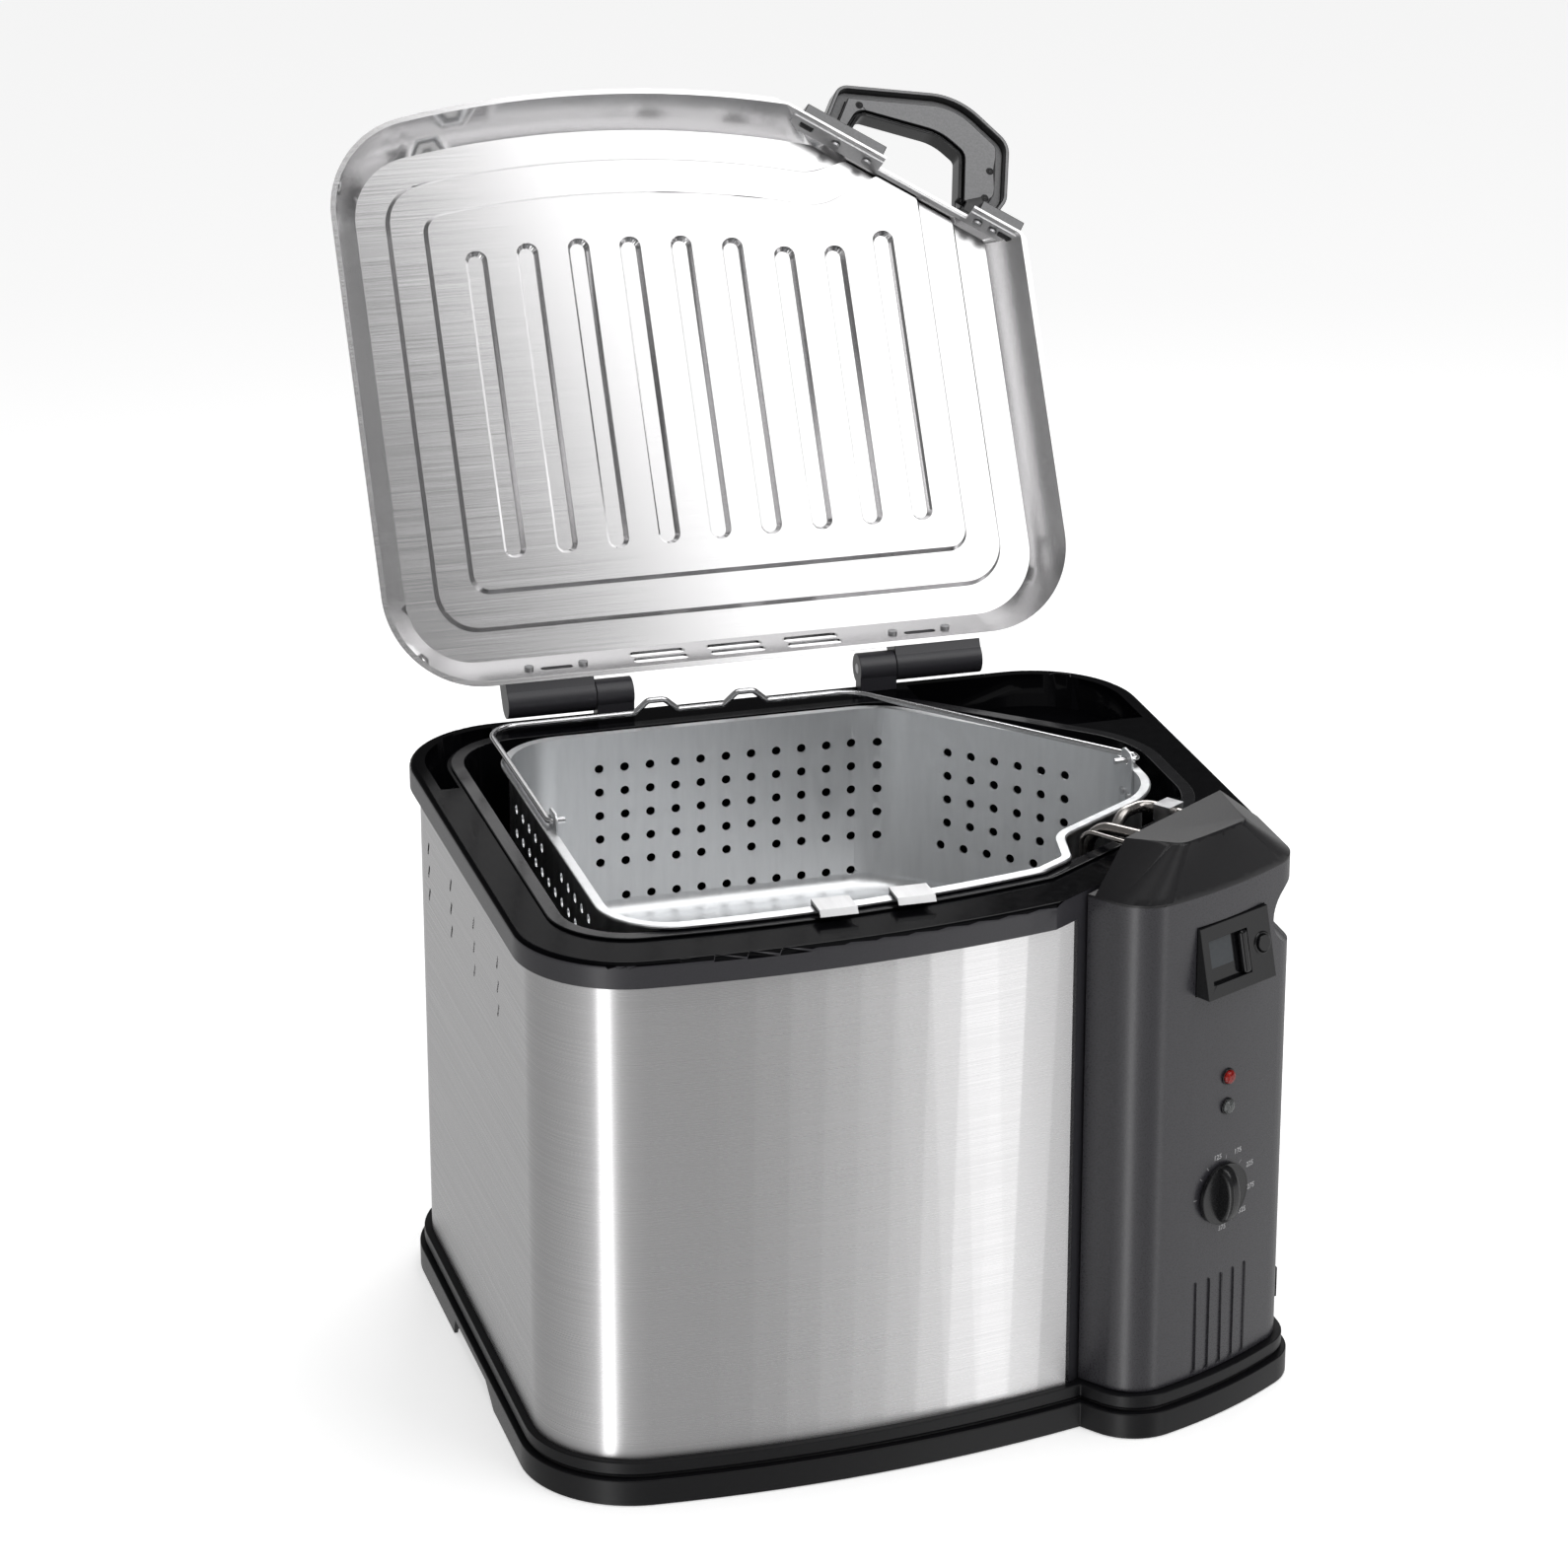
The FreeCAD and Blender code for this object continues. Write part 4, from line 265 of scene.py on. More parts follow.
def finish(name, colour, metallic=0.0, roughness=0.5, **sockets):
    """A new material with one Principled shader; sockets go by name with _ for a space."""
    material = bpy.data.materials.new(name)
    material.use_nodes = True
    shader = material.node_tree.nodes["Principled BSDF"]
    shader.inputs["Base Color"].default_value = (*colour, 1)
    shader.inputs["Metallic"].default_value = metallic
    shader.inputs["Roughness"].default_value = roughness
    for socket, value in sockets.items():
        shader.inputs[socket.replace("_", " ")].default_value = value
    return material


def feed(material, source, socket):
    """Links a pattern's result to a socket of the material's Principled shader."""
    tree = material.node_tree
    tree.links.new(source, tree.nodes["Principled BSDF"].inputs[socket])


def pattern(material, scale, detail=3.0):
    """A noise in object coordinates, scale being how often it repeats per metre on each axis."""
    tree = material.node_tree
    place = tree.nodes.new("ShaderNodeTexCoord")
    stretch = tree.nodes.new("ShaderNodeMapping")
    stretch.inputs["Scale"].default_value = scale
    noise = tree.nodes.new("ShaderNodeTexNoise")
    noise.inputs["Scale"].default_value = 1.0
    noise.inputs["Detail"].default_value = detail
    tree.links.new(place.outputs["Object"], stretch.inputs["Vector"])
    tree.links.new(stretch.outputs[0], noise.inputs["Vector"])
    return noise.outputs["Fac"]


def to_roughness(material, source, low, high):
    """Lets a pattern move the roughness between low and high."""
    span = material.node_tree.nodes.new("ShaderNodeMapRange")
    for socket, value in (("From Min", NOISE_LOW), ("From Max", NOISE_HIGH),
                          ("To Min", low), ("To Max", high)):
        span.inputs[socket].default_value = value
    material.node_tree.links.new(source, span.inputs["Value"])
    feed(material, span.outputs[0], "Roughness")


def to_colour(material, source, dark, light):
    """Lets a pattern drift the colour between two near tones."""
    tones = material.node_tree.nodes.new("ShaderNodeValToRGB")
    ends = zip(tones.color_ramp.elements, (NOISE_LOW, NOISE_HIGH), (dark, light))
    for element, position, colour in ends:
        element.position, element.color = position, (*colour, 1)
    material.node_tree.links.new(source, tones.inputs["Fac"])
    feed(material, tones.outputs["Color"], "Base Color")


def to_bump(material, source, height, strength):
    """Lets a pattern raise the surface by about height metres."""
    bump = material.node_tree.nodes.new("ShaderNodeBump")
    bump.inputs["Distance"].default_value = height
    bump.inputs["Strength"].default_value = strength
    material.node_tree.links.new(source, bump.inputs["Height"])
    feed(material, bump.outputs[0], "Normal")


print("pattern helpers ready")

# %% [markdown]
# ### Brushed stainless steel
#
# Brushing cuts thousands of fine parallel scratches. Along them the steel is nearly a mirror,
# and across them it blurs, so lights smear into streaks at right angles to the brush lines.
# The shader's anisotropy does that smear, round a tangent that runs with the lines. The noise
# is stretched the same way, so roughness, tone and bump all change from one scratch to the next.

# %% Brushed steel
def brushed(name, colour, roughness, lines, drift=0.012, height=0.000006):
    """A metal brushed in level lines round the body: lines is the noise scale per axis."""
    steel = finish(name, colour, 1.0, roughness, Anisotropic=1.0, Anisotropic_Rotation=0.25)
    tangent = steel.node_tree.nodes.new("ShaderNodeTangent")
    tangent.direction_type = "RADIAL"
    tangent.axis = "Z"
    feed(steel, tangent.outputs[0], "Tangent")
    scratches = pattern(steel, lines, 4.0)
    to_roughness(steel, scratches, roughness - 0.03, roughness + 0.04)
    to_colour(steel, scratches, [c - drift for c in colour], [c + drift for c in colour])
    to_bump(steel, scratches, height, 0.5)
    return steel


wall_steel = brushed("Wall_steel", (0.60, 0.595, 0.60), 0.28, (7, 7, 2400))
print(wall_steel.name)

# %% [markdown]
# ### The other metals
#
# The lid is finely lined sheet, the basket dull stamped sheet, the brackets and hooks satin
# strip and the bail bright bent rod. The heating element has browned, and the hidden plates are
# zinc coated. Each could have a function of its own, but they differ only in numbers, so one
# will do: a colour, a roughness, and one pattern that moves both. The pattern's scale on each
# axis tells how the metal was worked: even for a coating, stretched along the way it was rolled.

# %% Other metals
def metal(name, colour, roughness, scale, detail, rough, tones=(), bump=()):
    """A metal with one pattern: rough is its span of roughness, tones its two colours."""
    steel = finish(name, colour, 1.0, roughness)
    source = pattern(steel, scale, detail)
    to_roughness(steel, source, *rough)
    if tones:
        to_colour(steel, source, *tones)
    if bump:
        to_bump(steel, source, *bump)
    return steel


lid_steel = metal("Lid_steel", (0.66, 0.655, 0.66), 0.2, (9, 1500, 1500), 3.0, (0.17, 0.24),
                  ((0.65, 0.645, 0.65), (0.67, 0.665, 0.67)))
basket_steel = metal("Basket_steel", (0.80, 0.81, 0.82), 0.36, (260, 260, 40), 3.0, (0.30, 0.42),
                     ((0.78, 0.79, 0.80), (0.83, 0.84, 0.85)), (0.00002, 0.3))
satin_steel = metal("Satin_steel", (0.55, 0.55, 0.555), 0.34, (500, 30, 500), 3.0, (0.28, 0.42),
                    ((0.52, 0.52, 0.525), (0.58, 0.58, 0.585)))
bright_steel = metal("Bright_steel", (0.66, 0.66, 0.67), 0.14, (180, 180, 180), 2.0,
                     (0.10, 0.22))
element_steel = metal("Element_steel", (0.46, 0.43, 0.41), 0.24, (60, 60, 60), 3.0,
                      (0.18, 0.34), ((0.40, 0.37, 0.35), (0.52, 0.50, 0.48)))
zinc_steel = metal("Zinc_steel", (0.52, 0.52, 0.53), 0.38, (140, 140, 140), 2.0, (0.32, 0.46),
                   ((0.46, 0.46, 0.47), (0.57, 0.57, 0.58)))
cell_steel = metal("Cell_steel", (0.62, 0.62, 0.62), 0.3, (900, 900, 900), 2.0, (0.24, 0.36))
print([m.name for m in (lid_steel, basket_steel, satin_steel, bright_steel, element_steel,
                        zinc_steel, cell_steel)])

# %% [markdown]
# ### Moulded plastics, enamel and rubber
#
# The tray, rim and tower are injection moulded against a spark-eroded tool, which leaves a fine
# even grain that breaks the highlight up. A small noise in bump and roughness gives that grain.
# Only the pot's enamel, the knob and the timer's face are glossy, and there the surface is left
# smooth with a faint wave, as baked enamel and polished mouldings have. How strongly a plastic
# mirrors is its specular level: lowering it keeps a black moulding black under bright lamps.

# %% Plastics and enamel
def moulded(name, colour, roughness, level=0.5, grain=1500, height=0.00004, spread=0.06):
    """A grained moulding: level is how much it mirrors, grain how many grains to a metre."""
    plastic = finish(name, colour, 0.0, roughness, Specular_IOR_Level=level)
    skin = pattern(plastic, (grain, grain, grain), 2.0)
    to_roughness(plastic, skin, roughness - spread, roughness + spread)
    to_colour(plastic, skin, [c * 0.9 for c in colour], [c * 1.12 for c in colour])
    to_bump(plastic, skin, height, 0.5)
    return plastic


tower_plastic = moulded("Tower_plastic", (0.036, 0.035, 0.041), 0.30, 0.65, 1300)
# The cap is moulded from the tower's plastic. Its slopes are darkened by the dark room they face,
# and this darker tone adds painted shade on top of that.
cap_painted_shade = moulded("Cap_painted_shade", (0.010, 0.0095, 0.011), 0.36, 0.45, 1300)
rim_plastic = moulded("Rim_plastic", (0.036, 0.035, 0.041), 0.34, 0.50)
# The rim's top is the same plastic as its band: this near-black tone, with its mirror turned
# almost off, is painted shade for the dark room it faces.
rim_top_painted_shade = moulded("Rim_top_painted_shade", (0.002, 0.002, 0.0025), 0.14, 0.03, 200, 0.00001, 0.03)
tray_plastic = moulded("Tray_plastic", (0.007, 0.007, 0.008), 0.34, 0.25)
black_plastic = moulded("Black_plastic", (0.008, 0.008, 0.009), 0.34, 0.35)
# The handle is black plastic; this grey is painted sheen, the front box's light on its flat web.
handle_web_painted_sheen = moulded("Handle_web_painted_sheen", (0.24, 0.24, 0.245), 0.42, 0.4, 900)
gloss_black = moulded("Gloss_black", (0.007, 0.007, 0.008), 0.12, 0.45, 300, 0.00001, 0.03)
black_enamel = moulded("Black_enamel", (0.004, 0.004, 0.005), 0.13, 0.30, 120, 0.00002, 0.03)
knob_plastic = moulded("Knob_plastic", (0.012, 0.012, 0.013), 0.24, 0.5, 700, 0.00001, 0.04)
rubber = moulded("Rubber", (0.018, 0.018, 0.018), 0.75, 0.3, 900, 0.00006, 0.08)
dial_ink = moulded("Dial_ink", (0.55, 0.55, 0.56), 0.55, 0.4, 2500, 0.00001)
print([m.name for m in (tower_plastic, cap_painted_shade, rim_plastic, rim_top_painted_shade, tray_plastic)])

# %% [markdown]
# ### Lenses and the display
#
# The signal lenses are dyed clear plastic: about half of the light passes through and comes
# back coloured by what lies behind. A plain glossy red would look like paint, and full
# transmission would look like glass, so the shader is set between the two. The display is off
# and lets nothing through, so it is only a smooth slate tone.

# %% Lenses and display
def glassy(name, colour, roughness, grain, dark, light, through=0.0):
    """A smooth clear or tinted finish; through is how much of the light passes into it."""
    glass = finish(name, colour, 0.0, roughness, Transmission_Weight=through)
    to_colour(glass, pattern(glass, (grain, grain, grain), 1.0), dark, light)
    return glass


lcd_glass = glassy("Lcd_glass", (0.036, 0.043, 0.050), 0.09, 400,
                   (0.033, 0.040, 0.047), (0.040, 0.047, 0.054))
red_lens = glassy("Red_lens", (0.50, 0.020, 0.016), 0.10, 900,
                  (0.42, 0.014, 0.010), (0.60, 0.030, 0.024), 0.5)
clear_lens = glassy("Clear_lens", (0.22, 0.23, 0.23), 0.08, 900,
                    (0.20, 0.21, 0.21), (0.25, 0.26, 0.26), 0.6)
print([m.name for m in (lcd_glass, red_lens, clear_lens)])

# %% [markdown]
# ## A finish on every node
#
# The record names a material slot for each node. One small table turns slots into finishes, so
# nothing is left in its plain grey, not even the parts that only show when the tower is lifted.
# A second table is for the few nodes that share a slot with others but look different.

# %% Finishes by slot
finish_of = {
    "brushed_steel": wall_steel, "lid_steel": lid_steel, "basket_steel": basket_steel,
    "bright_steel": bright_steel, "rim_plastic": rim_plastic, "tower_plastic": tower_plastic,
    "black_plastic": black_plastic, "gloss_black": gloss_black, "black_enamel": black_enamel,
    "zinc_steel": zinc_steel, "element_steel": element_steel, "rubber": rubber,
    "lcd_glass": lcd_glass, "red_lens": red_lens, "clear_lens": clear_lens,
    "cell_steel": cell_steel,
}
# The cap's finish carries painted shade, and the handle's grey carries painted sheen.
finish_at = {"base_tray": tray_plastic, "control_cap": cap_painted_shade, "lid_handle": handle_web_painted_sheen,
             "handle_bracket": satin_steel, "basket_hooks": satin_steel}

for node, thing in nodes.items():
    for material_slot in thing.material_slots:
        material_slot.material = finish_at.get(node, finish_of[slot_of[node]])
print("dressed", len(nodes), "nodes")

# %% [markdown]
# ## Softened copies of the CAD nodes
#
# A CAD node arrives as loose triangles with flat shading, so every curve shows its facets. The
# node itself must stay as it is, so a copy is made: its doubles are merged, its flat faces
# joined into single ones, its sharp edges rounded by a bevel, and then it is shaded smooth by
# angle, with normals weighted by face size so that the large flats stay flat. The copy shows in
# the node's place and rides with it. Moulded plastic gets the widest rounding and thin sheet
# none, as on the real thing.

# %% Softened copies
SHARP, FINE = 35, 12       # degrees: an edge sharper than this stays an edge
FLAT = 0.08                # degrees: faces closer than this become one
WELD = 0.000008            # metres: corners closer than this become one
FINE_NODES = {"lid_panel"}


def alone(piece):
    """Selects one piece and nothing else."""
    bpy.ops.object.select_all(action="DESELECT")
    piece.select_set(True)
    bpy.context.view_layer.objects.active = piece


def opened(piece):
    """Opens one piece in edit mode with all of it selected."""
    alone(piece)
    bpy.ops.object.mode_set(mode="EDIT")
    bpy.ops.mesh.select_all(action="SELECT")


def rounded(piece, edge, angle=SHARP):
    """Bevels a piece's sharp edges, shades it smooth by angle and evens its normals."""
    alone(piece)
    if edge:
        rounding = piece.modifiers.new("Edge", "BEVEL")
        rounding.width = edge
        rounding.segments = 2
        rounding.limit_method = "ANGLE"
        rounding.angle_limit = radians(angle)
        rounding.use_clamp_overlap = False
        bpy.ops.object.modifier_apply(modifier=rounding.name)
    bpy.ops.object.shade_smooth_by_angle(angle=radians(angle))
    if angle > FINE:
        even = piece.modifiers.new("Even", "WEIGHTED_NORMAL")
        even.keep_sharp = True
        bpy.ops.object.modifier_apply(modifier=even.name)


def softened(node, edge):
    """A merged, smooth copy of a node, with its sharp edges rounded by edge metres."""
    piece = bpy.data.objects.new("Soft_" + node, nodes[node].data.copy())
    bpy.context.scene.collection.objects.link(piece)
    opened(piece)
    bpy.ops.mesh.remove_doubles(threshold=WELD)
    bpy.ops.mesh.dissolve_limited(angle_limit=radians(FLAT))
    bpy.ops.object.mode_set(mode="OBJECT")
    rounded(piece, edge, FINE if node in FINE_NODES else SHARP)
    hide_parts(node)
    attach(piece, body_of[node])
    return piece


# How far each copy's edges are rounded, in millimetres. Thin sheet and bent rod need none. The
# rim and the cap keep their own edges, because a bevel there grows spikes past the model, and
# the housing keeps its own too: its bowed face gets exact normals further down.
edge_of = {
    "base_tray": 0.7, "body_shell": 0, "top_rim": 0, "dock_strip": 0, "oil_pot": 0.6,
    "control_housing": 0, "control_cap": 0, "control_rear_cover": 0.4, "timer_bay": 0.2,
    "timer_case": 0.4, "timer_button": 0.3, "fry_basket": 0, "bail_ear_left": 0.2,
    "bail_ear_right": 0.2, "ear_rivets": 0, "basket_hooks": 0.2, "bail_handle": 0,
    "heating_element": 0, "element_clamp": 0.2, "element_supports": 0.2, "sensor_probe": 0,
    "lid_panel": 0, "lid_handle": 0.5, "handle_bracket": 0.2, "handle_screws": 0.1,
    "hinge_barrel_left": 0.2, "hinge_barrel_right": 0.2, "hinge_knuckle_left": 0.4,
    "hinge_knuckle_right": 0.4, "cord_inlet": 0.3, "rubber_feet": 0.4, "control_screws": 0.1,
    "base_screws": 0.1, "lid_hinge_screws": 0.1, "hinge_pin_left": 0.1, "hinge_pin_right": 0.1,
}
soft = {node: softened(node, edge * MM) for node, edge in edge_of.items()}
print(len(soft), "softened copies,", sum(len(p.data.polygons) for p in soft.values()), "faces")

# %% [markdown]
# ## The lid's flat sheet
#
# The lid is one pressed sheet: large flats joined by small rounded steps. Smooth shading
# spreads the turn of each step into the flat beside it, and sheet this shiny shows that as a
# dent. Weighted normals would mostly cure it, but the steps have so many small faces that they
# still pull. So each corner on a large flat takes that flat's own normal, and all of the turn
# happens within the step.

# %% Flat sheet
LARGE_FLAT = 0.0012        # square metres
SAME_PLANE = 0.2 * MM


def steadied(piece, angle):
    """Gives corners that touch a large flat the normal of that flat, so sheet stays flat."""
    mesh = piece.data
    planes = [(*(round(part, 3) for part in face.normal),
               round(face.center.dot(face.normal) / SAME_PLANE)) for face in mesh.polygons]
    areas, largest = {}, {}
    for face, plane in zip(mesh.polygons, planes):
        areas[plane] = areas.get(plane, 0) + face.area
    for face, plane in zip(mesh.polygons, planes):
        for vertex in face.vertices:
            if areas[plane] > largest.get(vertex, (LARGE_FLAT, None))[0]:
                largest[vertex] = (areas[plane], face.normal.copy())
    normals = [Vector(corner.vector) for corner in mesh.corner_normals]
    for face in mesh.polygons:
        for corner in face.loop_indices:
            flat = largest.get(mesh.loops[corner].vertex_index, (0, None))[1]
            if flat and flat.dot(face.normal) > cos(radians(angle)):
                normals[corner] = flat
    mesh.normals_split_custom_set(normals)
    return len(largest)


print("lid corners steadied:", steadied(soft["lid_panel"], 14))

# %% [markdown]
# ## The tower's bowed face
#
# The front of the tower is so gentle an arc that the CAD mesh draws it with a few tall strips.
# Averaged normals turn by uneven steps from strip to strip, and the plastic would show upright
# streaks. A finer mesh would help, but the shape is known: along an arc the normal turns at an
# even rate. The rate is found from the strips themselves, by a straight line fitted through
# their directions, and then every corner gets the exact normal of its own place on the arc.

# %% Bowed face
FACE_ALONG, FACE_OUT = Vector((0.894934, 0.446198, 0)), Vector((0.446198, -0.894934, 0))
BOW_REACH, BOW_STRAY = 14, 1.5      # degrees: off the face's middle, and off the fitted line
UPRIGHT = 0.02


def bowed(piece, out, along):
    """Gives the faces of one gently bowed side the exact normals of its arc."""
    mesh = piece.data
    side = [face for face in mesh.polygons
            if face.normal.dot(out) > cos(radians(BOW_REACH)) and abs(face.normal.z) < UPRIGHT]
    for _ in range(3):
        rows = [(face.center.dot(along), atan2(face.normal.dot(along), face.normal.dot(out)),
                 face.area, face) for face in side]
        total = sum(row[2] for row in rows)
        middle = sum(row[0] * row[2] for row in rows) / total
        level = sum(row[1] * row[2] for row in rows) / total
        spread = sum(row[2] * (row[0] - middle) ** 2 for row in rows)
        rate = sum(row[2] * (row[0] - middle) * (row[1] - level) for row in rows) / spread
        side = [row[3] for row in rows
                if abs(row[1] - level - rate * (row[0] - middle)) < radians(BOW_STRAY)]
    normals = [Vector(corner.vector) for corner in mesh.corner_normals]
    for face in side:
        for corner in face.loop_indices:
            place = mesh.vertices[mesh.loops[corner].vertex_index].co.dot(along)
            turned = level + rate * (place - middle)
            normals[corner] = out * cos(turned) + along * sin(turned)
    mesh.normals_split_custom_set(normals)
    return len(side), round(1 / rate, 4)


print("bowed faces and radius:", bowed(soft["control_housing"], FACE_OUT, FACE_ALONG))

# %% [markdown]
# ## Tools for new pieces
#
# The knob, the lenses and the timer's parts sit on faces that lean and turn. They could be
# modelled in place, but then every number would hide an angle. Each is built lying flat at the
# origin instead, in its own small frame, and carried to its face at the end. These tools do the
# carrying, the choosing of faces, the booleans, and the fitting of each piece to its body.

# %% Tools for new pieces
KNOB_SEAT = Vector((0.167261, -0.163336, 0.131))
TIMER_OUT = Vector((0.436447, -0.875378, 0.207912))


def face_place(out, along=0.0, up=0.0, level=0.0):
    """The matrix that stands a piece on a face: x along it, y up it, z out, from the knob."""
    rise_axis = out.cross(FACE_ALONG)
    spot = KNOB_SEAT + FACE_ALONG * along + rise_axis * up + out * level
    return Matrix.Translation(spot) @ Matrix((FACE_ALONG, rise_axis, out)).transposed().to_4x4()


def choose(piece, test):
    """Opens a piece in edit mode with the faces selected for which test(centre, normal) holds."""
    opened(piece)
    bpy.ops.mesh.select_mode(type="FACE")
    bpy.ops.mesh.select_all(action="DESELECT")
    bpy.ops.object.mode_set(mode="OBJECT")
    for face in piece.data.polygons:
        face.select = test(face.center, face.normal)
    bpy.ops.object.mode_set(mode="EDIT")


def settled(title):
    """Leaves edit mode, moves the object's own place into its mesh and names it."""
    piece = bpy.context.object
    bpy.ops.object.mode_set(mode="OBJECT")
    bpy.ops.object.transform_apply(location=True, rotation=True, scale=True)
    piece.name = title
    return piece


def joined(piece, other, operation="UNION"):
    """Applies a boolean of another piece to a piece, and removes the other."""
    alone(piece)
    cut = piece.modifiers.new("Join", "BOOLEAN")
    cut.operation, cut.object = operation, other
    bpy.ops.object.modifier_apply(modifier=cut.name)
    bpy.data.objects.remove(other, do_unlink=True)
    return piece


def fitted(piece, body, slot, material=None, place=None, instead_of=()):
    """Puts a finished piece in place, gives it its finish, hides the nodes it replaces and
    attaches it to its body.
    """
    if place is not None:
        piece.data.transform(place)
    piece.data.materials.clear()
    piece.data.materials.append(material or finish_of[slot])
    if instead_of:
        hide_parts(*instead_of)
    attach(piece, body)
    return piece


def ring(title, radius, tube, steps, squash):
    """A flattened ring lying at the origin, its radius and its tube's in millimetres."""
    bpy.ops.object.select_all(action="DESELECT")
    bpy.ops.mesh.primitive_torus_add(major_radius=radius * MM, minor_radius=tube * MM,
                                     major_segments=64, minor_segments=steps)
    opened(settled(title))
    bpy.ops.transform.resize(value=(1, 1, squash))
    piece = settled(title)
    rounded(piece, 0, 60)
    return piece


print("tools ready; tower face turned", round(degrees(atan2(FACE_ALONG.y, FACE_ALONG.x)), 1))

# %% [markdown]
# ## The temperature knob
#
# The knob is a flat round skirt with a tall thin fin across it, arched like half a disc, so a
# wet hand can turn it. The CAD knob is low and faceted. A fin could be extruded from an outline,
# but a disc stood on edge, squashed and cut in half already is that arch, and rounding only its
# crown keeps the foot crisp where it meets the skirt.

# %% Knob
SKIRT_RADIUS, SKIRT_HEIGHT, SKIRT_EDGE = 17.6, 2.6, 0.35
SKIRT_LIP, SKIRT_DISH = 1.2, 0.5
FIN_RADIUS, FIN_WIDTH, FIN_CROWN = 16.4, 8.4, 3.0
FIN_SQUASH, FIN_FOOT = 0.58, 1.7
TINY = 0.00001

bpy.ops.object.select_all(action="DESELECT")
bpy.ops.mesh.primitive_cylinder_add(vertices=128, radius=SKIRT_RADIUS * MM,
                                    depth=SKIRT_HEIGHT * MM,
                                    location=(0, 0, SKIRT_HEIGHT / 2 * MM))
skirt = settled("Knob_skirt")
choose(skirt, lambda centre, normal: normal.z > 0.9)
bpy.ops.mesh.inset(thickness=SKIRT_LIP * MM, depth=-SKIRT_DISH * MM)
skirt = settled("Knob_skirt")
rounded(skirt, SKIRT_EDGE * MM, 40)

bpy.ops.object.select_all(action="DESELECT")
bpy.ops.mesh.primitive_cylinder_add(vertices=128, radius=FIN_RADIUS * MM, depth=FIN_WIDTH * MM,
                                    rotation=(0, pi / 2, 0))
fin = settled("Knob_fin")
opened(fin)
bpy.ops.transform.resize(value=(1, 1, FIN_SQUASH))
bpy.ops.mesh.bisect(plane_co=(0, 0, 0), plane_no=(0, 0, 1), clear_inner=True, use_fill=True)
bpy.ops.mesh.select_mode(type="EDGE")
bpy.ops.mesh.select_all(action="DESELECT")
bpy.ops.object.mode_set(mode="OBJECT")
for edge in fin.data.edges:
    start, end = (fin.data.vertices[index].co for index in edge.vertices)
    edge.select = (start.z + end.z > TINY and start.x * end.x > 0
                   and abs(start.x - end.x) < TINY)
bpy.ops.object.mode_set(mode="EDIT")
bpy.ops.mesh.bevel(offset=FIN_CROWN * MM, segments=5, clamp_overlap=False)
fin = settled("Knob_fin")
fin.data.transform(Matrix.Translation((0, 0, FIN_FOOT * MM)))
knob = joined(skirt, fin)
knob.name = "Knob"
rounded(knob, 0, 30)
fitted(knob, "knob", "gloss_black", knob_plastic, face_place(FACE_OUT), ["temperature_knob"])
print("knob", len(knob.data.polygons), "faces")

# %% [markdown]
# ## Signal lenses
#
# Two small domed lenses show power and ready. Each is half a squashed ball on a short plug,
# in a thin gloss ring. The ball gives the bright point that a flat disc never shows.

# %% Lenses
LENS_RADIUS, LENS_SQUASH, PLUG_DEPTH = 3.9, 0.62, 2.2
RING_RADIUS, RING_TUBE, RING_SQUASH = 4.3, 0.45, 0.7
LENS_ALONG, LENS_LIFT, RING_LIFT = 2.4, 0.1, 0.15

for title, up, slot in (("Power", 68.5, "red_lens"), ("Ready", 51.0, "clear_lens")):
    bpy.ops.object.select_all(action="DESELECT")
    bpy.ops.mesh.primitive_uv_sphere_add(segments=48, ring_count=24, radius=LENS_RADIUS * MM)
    opened(settled(title + "_dome"))
    bpy.ops.mesh.bisect(plane_co=(0, 0, 0), plane_no=(0, 0, 1), clear_inner=True, use_fill=True)
    bpy.ops.mesh.select_all(action="SELECT")
    bpy.ops.transform.resize(value=(1, 1, LENS_SQUASH))
    dome = settled(title + "_dome")
    choose(dome, lambda centre, normal: normal.z < -0.9)
    bpy.ops.mesh.extrude_region_move(
        TRANSFORM_OT_translate={"value": (0, 0, -PLUG_DEPTH * MM)})
    dome = settled(title + "_dome")
    rounded(dome, 0, 40)
    fitted(dome, "controls", slot, None,
           face_place(FACE_OUT, LENS_ALONG * MM, up * MM, LENS_LIFT * MM),
           [title.lower() + "_lens"])
    fitted(ring(title + "_ring", RING_RADIUS, RING_TUBE, 12, RING_SQUASH), "controls",
           "gloss_black", None, face_place(FACE_OUT, LENS_ALONG * MM, up * MM, RING_LIFT * MM))
print("two lenses and rings")

# %% [markdown]
# ## The dial print
#
# Numbers and short strokes are printed round the knob in light grey ink. Text starts as a curve
# object, which is turned into a mesh, laid out flat round the knob, and then pressed on to the
# gently bulged face with a shrinkwrap, so it neither sinks in nor floats off at the sides. An
# image would do the same, but a printed mesh stays sharp at any distance.

# %% Dial
# Each number with its angle round the knob in degrees and its reach in millimetres.
DIAL = [("125", 103, 22.6), ("175", 61, 24.0), ("225", 23, 24.6), ("275", -10, 24.6),
        ("325", -44, 23.6), ("375", -90, 21.4)]
NUMBER_SIZE, NUMBER_SHIFT, NUMBER_WEIGHT = 4.2, 1.3, 0.09
STROKES = [143, 123.5, 81, 42, 6.5, -27, -65, 177]
STROKE_REACH, STROKE_LENGTH, STROKE_WIDTH = 20.6, 2.2, 0.28
INK_START, INK_LIFT, INK_DEPTH = 6, 0.04, 0.05

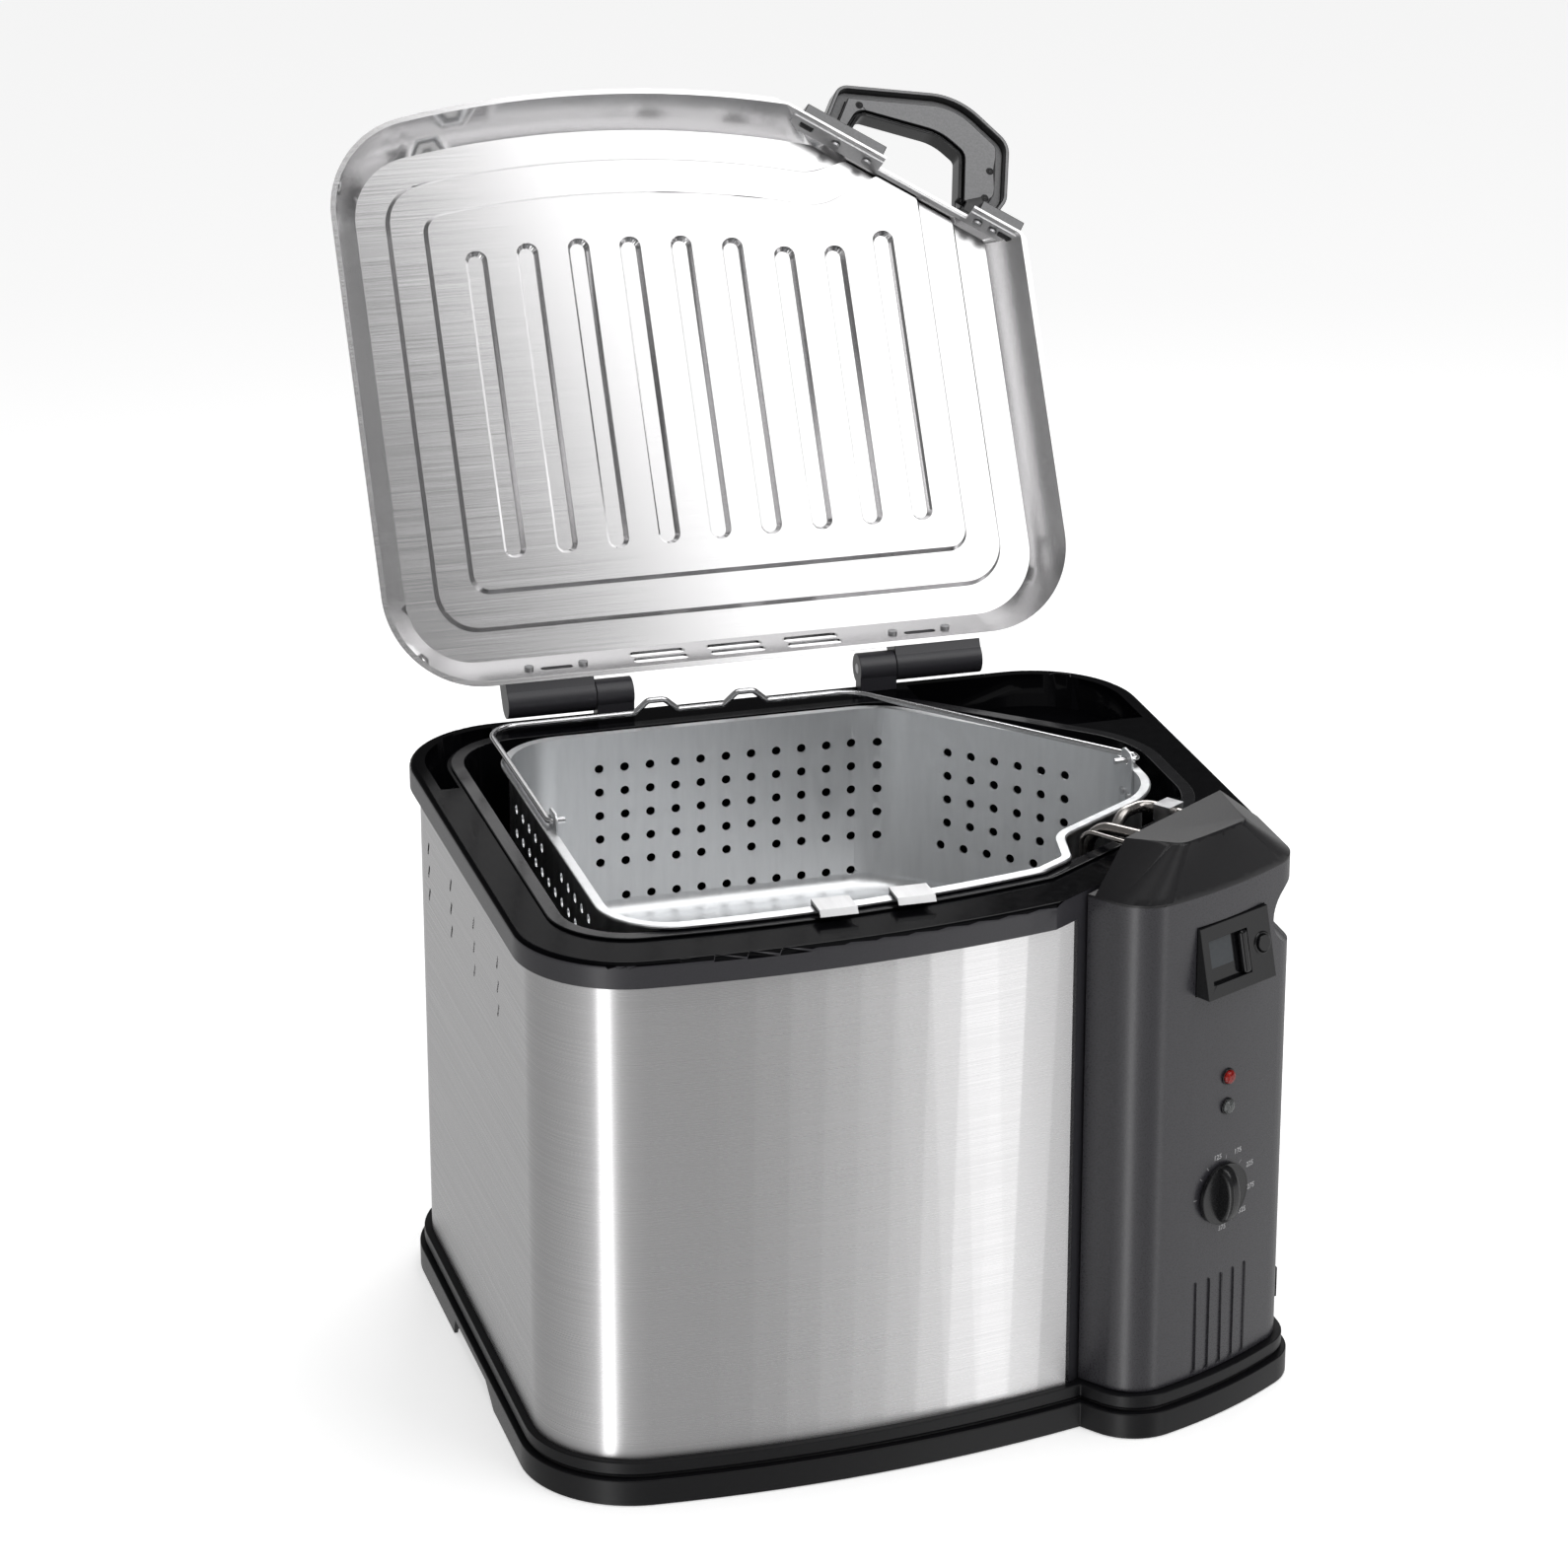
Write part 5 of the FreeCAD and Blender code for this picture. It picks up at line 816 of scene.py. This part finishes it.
prints = []
for word, angle, reach in DIAL:
    bpy.ops.object.select_all(action="DESELECT")
    bpy.ops.object.text_add(location=((reach * cos(radians(angle)) + NUMBER_SHIFT) * MM,
                                      reach * MM * sin(radians(angle)), 0))
    text = bpy.context.object
    text.data.body = word
    text.data.size = NUMBER_SIZE * MM
    text.data.align_x, text.data.align_y = "CENTER", "CENTER"
    text.data.offset = NUMBER_WEIGHT * MM
    bpy.ops.object.convert(target="MESH")
    prints.append(settled("Number_" + word))
for angle in STROKES:
    bpy.ops.object.select_all(action="DESELECT")
    spot = (STROKE_REACH * MM * cos(radians(angle)), STROKE_REACH * MM * sin(radians(angle)), 0)
    bpy.ops.mesh.primitive_plane_add(size=1, location=spot, rotation=(0, 0, radians(angle)))
    bpy.ops.transform.resize(value=(STROKE_LENGTH * MM, STROKE_WIDTH * MM, 1),
                             orient_type="LOCAL")
    prints.append(settled("Stroke"))
alone(prints[0])
for one in prints:
    one.select_set(True)
bpy.ops.object.join()
dial = bpy.context.object
dial.name = "Dial_print"
opened(dial)
bpy.ops.mesh.quads_convert_to_tris()
bpy.ops.mesh.subdivide(number_cuts=1)
bpy.ops.object.mode_set(mode="OBJECT")
dial.data.transform(face_place(FACE_OUT, 0, 0, INK_START * MM))
press = dial.modifiers.new("Press", "SHRINKWRAP")
press.target = soft["control_housing"]
press.wrap_method = "NEAREST_SURFACEPOINT"
press.offset = INK_LIFT * MM
bpy.ops.object.modifier_apply(modifier=press.name)
ink = dial.modifiers.new("Ink", "SOLIDIFY")
ink.thickness, ink.offset = INK_DEPTH * MM, 0
bpy.ops.object.modifier_apply(modifier=ink.name)
fitted(dial, "controls", "tower_plastic", dial_ink)
print("dial", len(dial.data.polygons), "faces")

# %% [markdown]
# ## The timer's face
#
# The timer's window is a black gloss recess with a small grey display in its upper left, and a
# rounded bar down its right side that a thumb can find. The recess is cut into the softened case
# with a boolean; the display and the bar are small pieces set in it, and a thin collar goes
# round the key. All of them ride with the timer when it is drawn out of its bay. Their corners
# are in millimetres from the knob's seat: along the face, up it and out of it.

# %% Timer
def slab(title, low, high, edge=0.0):
    """A box between two corners in millimetres, with its edges rounded by edge."""
    bpy.ops.object.select_all(action="DESELECT")
    bpy.ops.mesh.primitive_cube_add(
        size=1, location=[(a + b) / 2 * MM for a, b in zip(low, high)])
    bpy.ops.transform.resize(value=[(b - a) * MM for a, b in zip(low, high)])
    piece = settled(title)
    if edge:
        alone(piece)
        round_off = piece.modifiers.new("Round", "BEVEL")
        round_off.width, round_off.segments = edge * MM, 4
        bpy.ops.object.modifier_apply(modifier=round_off.name)
    return piece


timer_place = face_place(TIMER_OUT)
recess = slab("Recess", (-19, 125.6, 30.4), (10.8, 150.2, 40))
recess.data.transform(timer_place)
joined(soft["timer_case"], recess, "DIFFERENCE")
rounded(soft["timer_case"], 0)

pane = slab("Timer_pane", (-19.3, 125.3, 29.6), (11.1, 150.5, 30.6), 0.2)
rounded(pane, 0)
fitted(pane, "timer", "gloss_black", None, timer_place, ["timer_lens"])
display = slab("Timer_display", (-18.4, 134.0, 30.5), (0.6, 149.4, 31.3), 0.25)
rounded(display, 0)
fitted(display, "timer", "lcd_glass", None, timer_place)
bar = slab("Timer_bar", (4.9, 125.9, 30.5), (10.1, 149.9, 35.2), 1.9)
rounded(bar, 0, 60)
fitted(bar, "timer", "gloss_black", None, timer_place)
fitted(ring("Timer_collar", 5.5, 0.9, 16, 0.8), "timer", "gloss_black", None,
       face_place(TIMER_OUT, 21.0 * MM, 138.9 * MM, 33.9 * MM))
print("timer face ready")

# %% [markdown]
# ## Painted shade on the rim's top, painted sheen on the handle's web
#
# The rim's outer band is charcoal like the tower. Its top is the same plastic, glossier, and is
# painted near black as painted shade for the dark room it faces, so the copy carries two
# materials. A face belongs to the band if it is upright and, looking straight out from it, the
# rim never meets itself again. The lid's handle is gloss black; its flat web is painted matt grey
# as painted sheen for the front box's light on it. The web's large flat faces are found by their
# direction and size.

# %% Split finishes
BAND_LEAN = 0.35
LOOK_FROM = 0.0002
WEB_OUT = Vector((0.10, -0.79, 0.61))
WEB_CLOSE, WEB_AREA = 0.97, 0.0002


def second_finish(piece, material, test):
    """Gives another material to the faces of a piece for which test(face) holds."""
    piece.data.materials.append(material)
    number = len(piece.data.materials) - 1
    found = [face for face in piece.data.polygons if test(face)]
    for face in found:
        face.material_index = number
    print(piece.name, material.name, "on", len(found), "faces")


def on_top(face):
    """Whether a face of the rim is not part of its outer band."""
    start = face.center + face.normal * LOOK_FROM
    return abs(face.normal.z) >= BAND_LEAN or soft["top_rim"].ray_cast(start, face.normal)[0]


def off_web(face):
    """Whether a face of the handle is not part of its flat web."""
    return abs(face.normal.dot(WEB_OUT)) <= WEB_CLOSE or face.area <= WEB_AREA


# The rim's top gets its painted shade.
second_finish(soft["top_rim"], rim_top_painted_shade, on_top)
# All of the handle but its web turns gloss black; the web keeps its painted sheen.
second_finish(soft["lid_handle"], gloss_black, off_web)
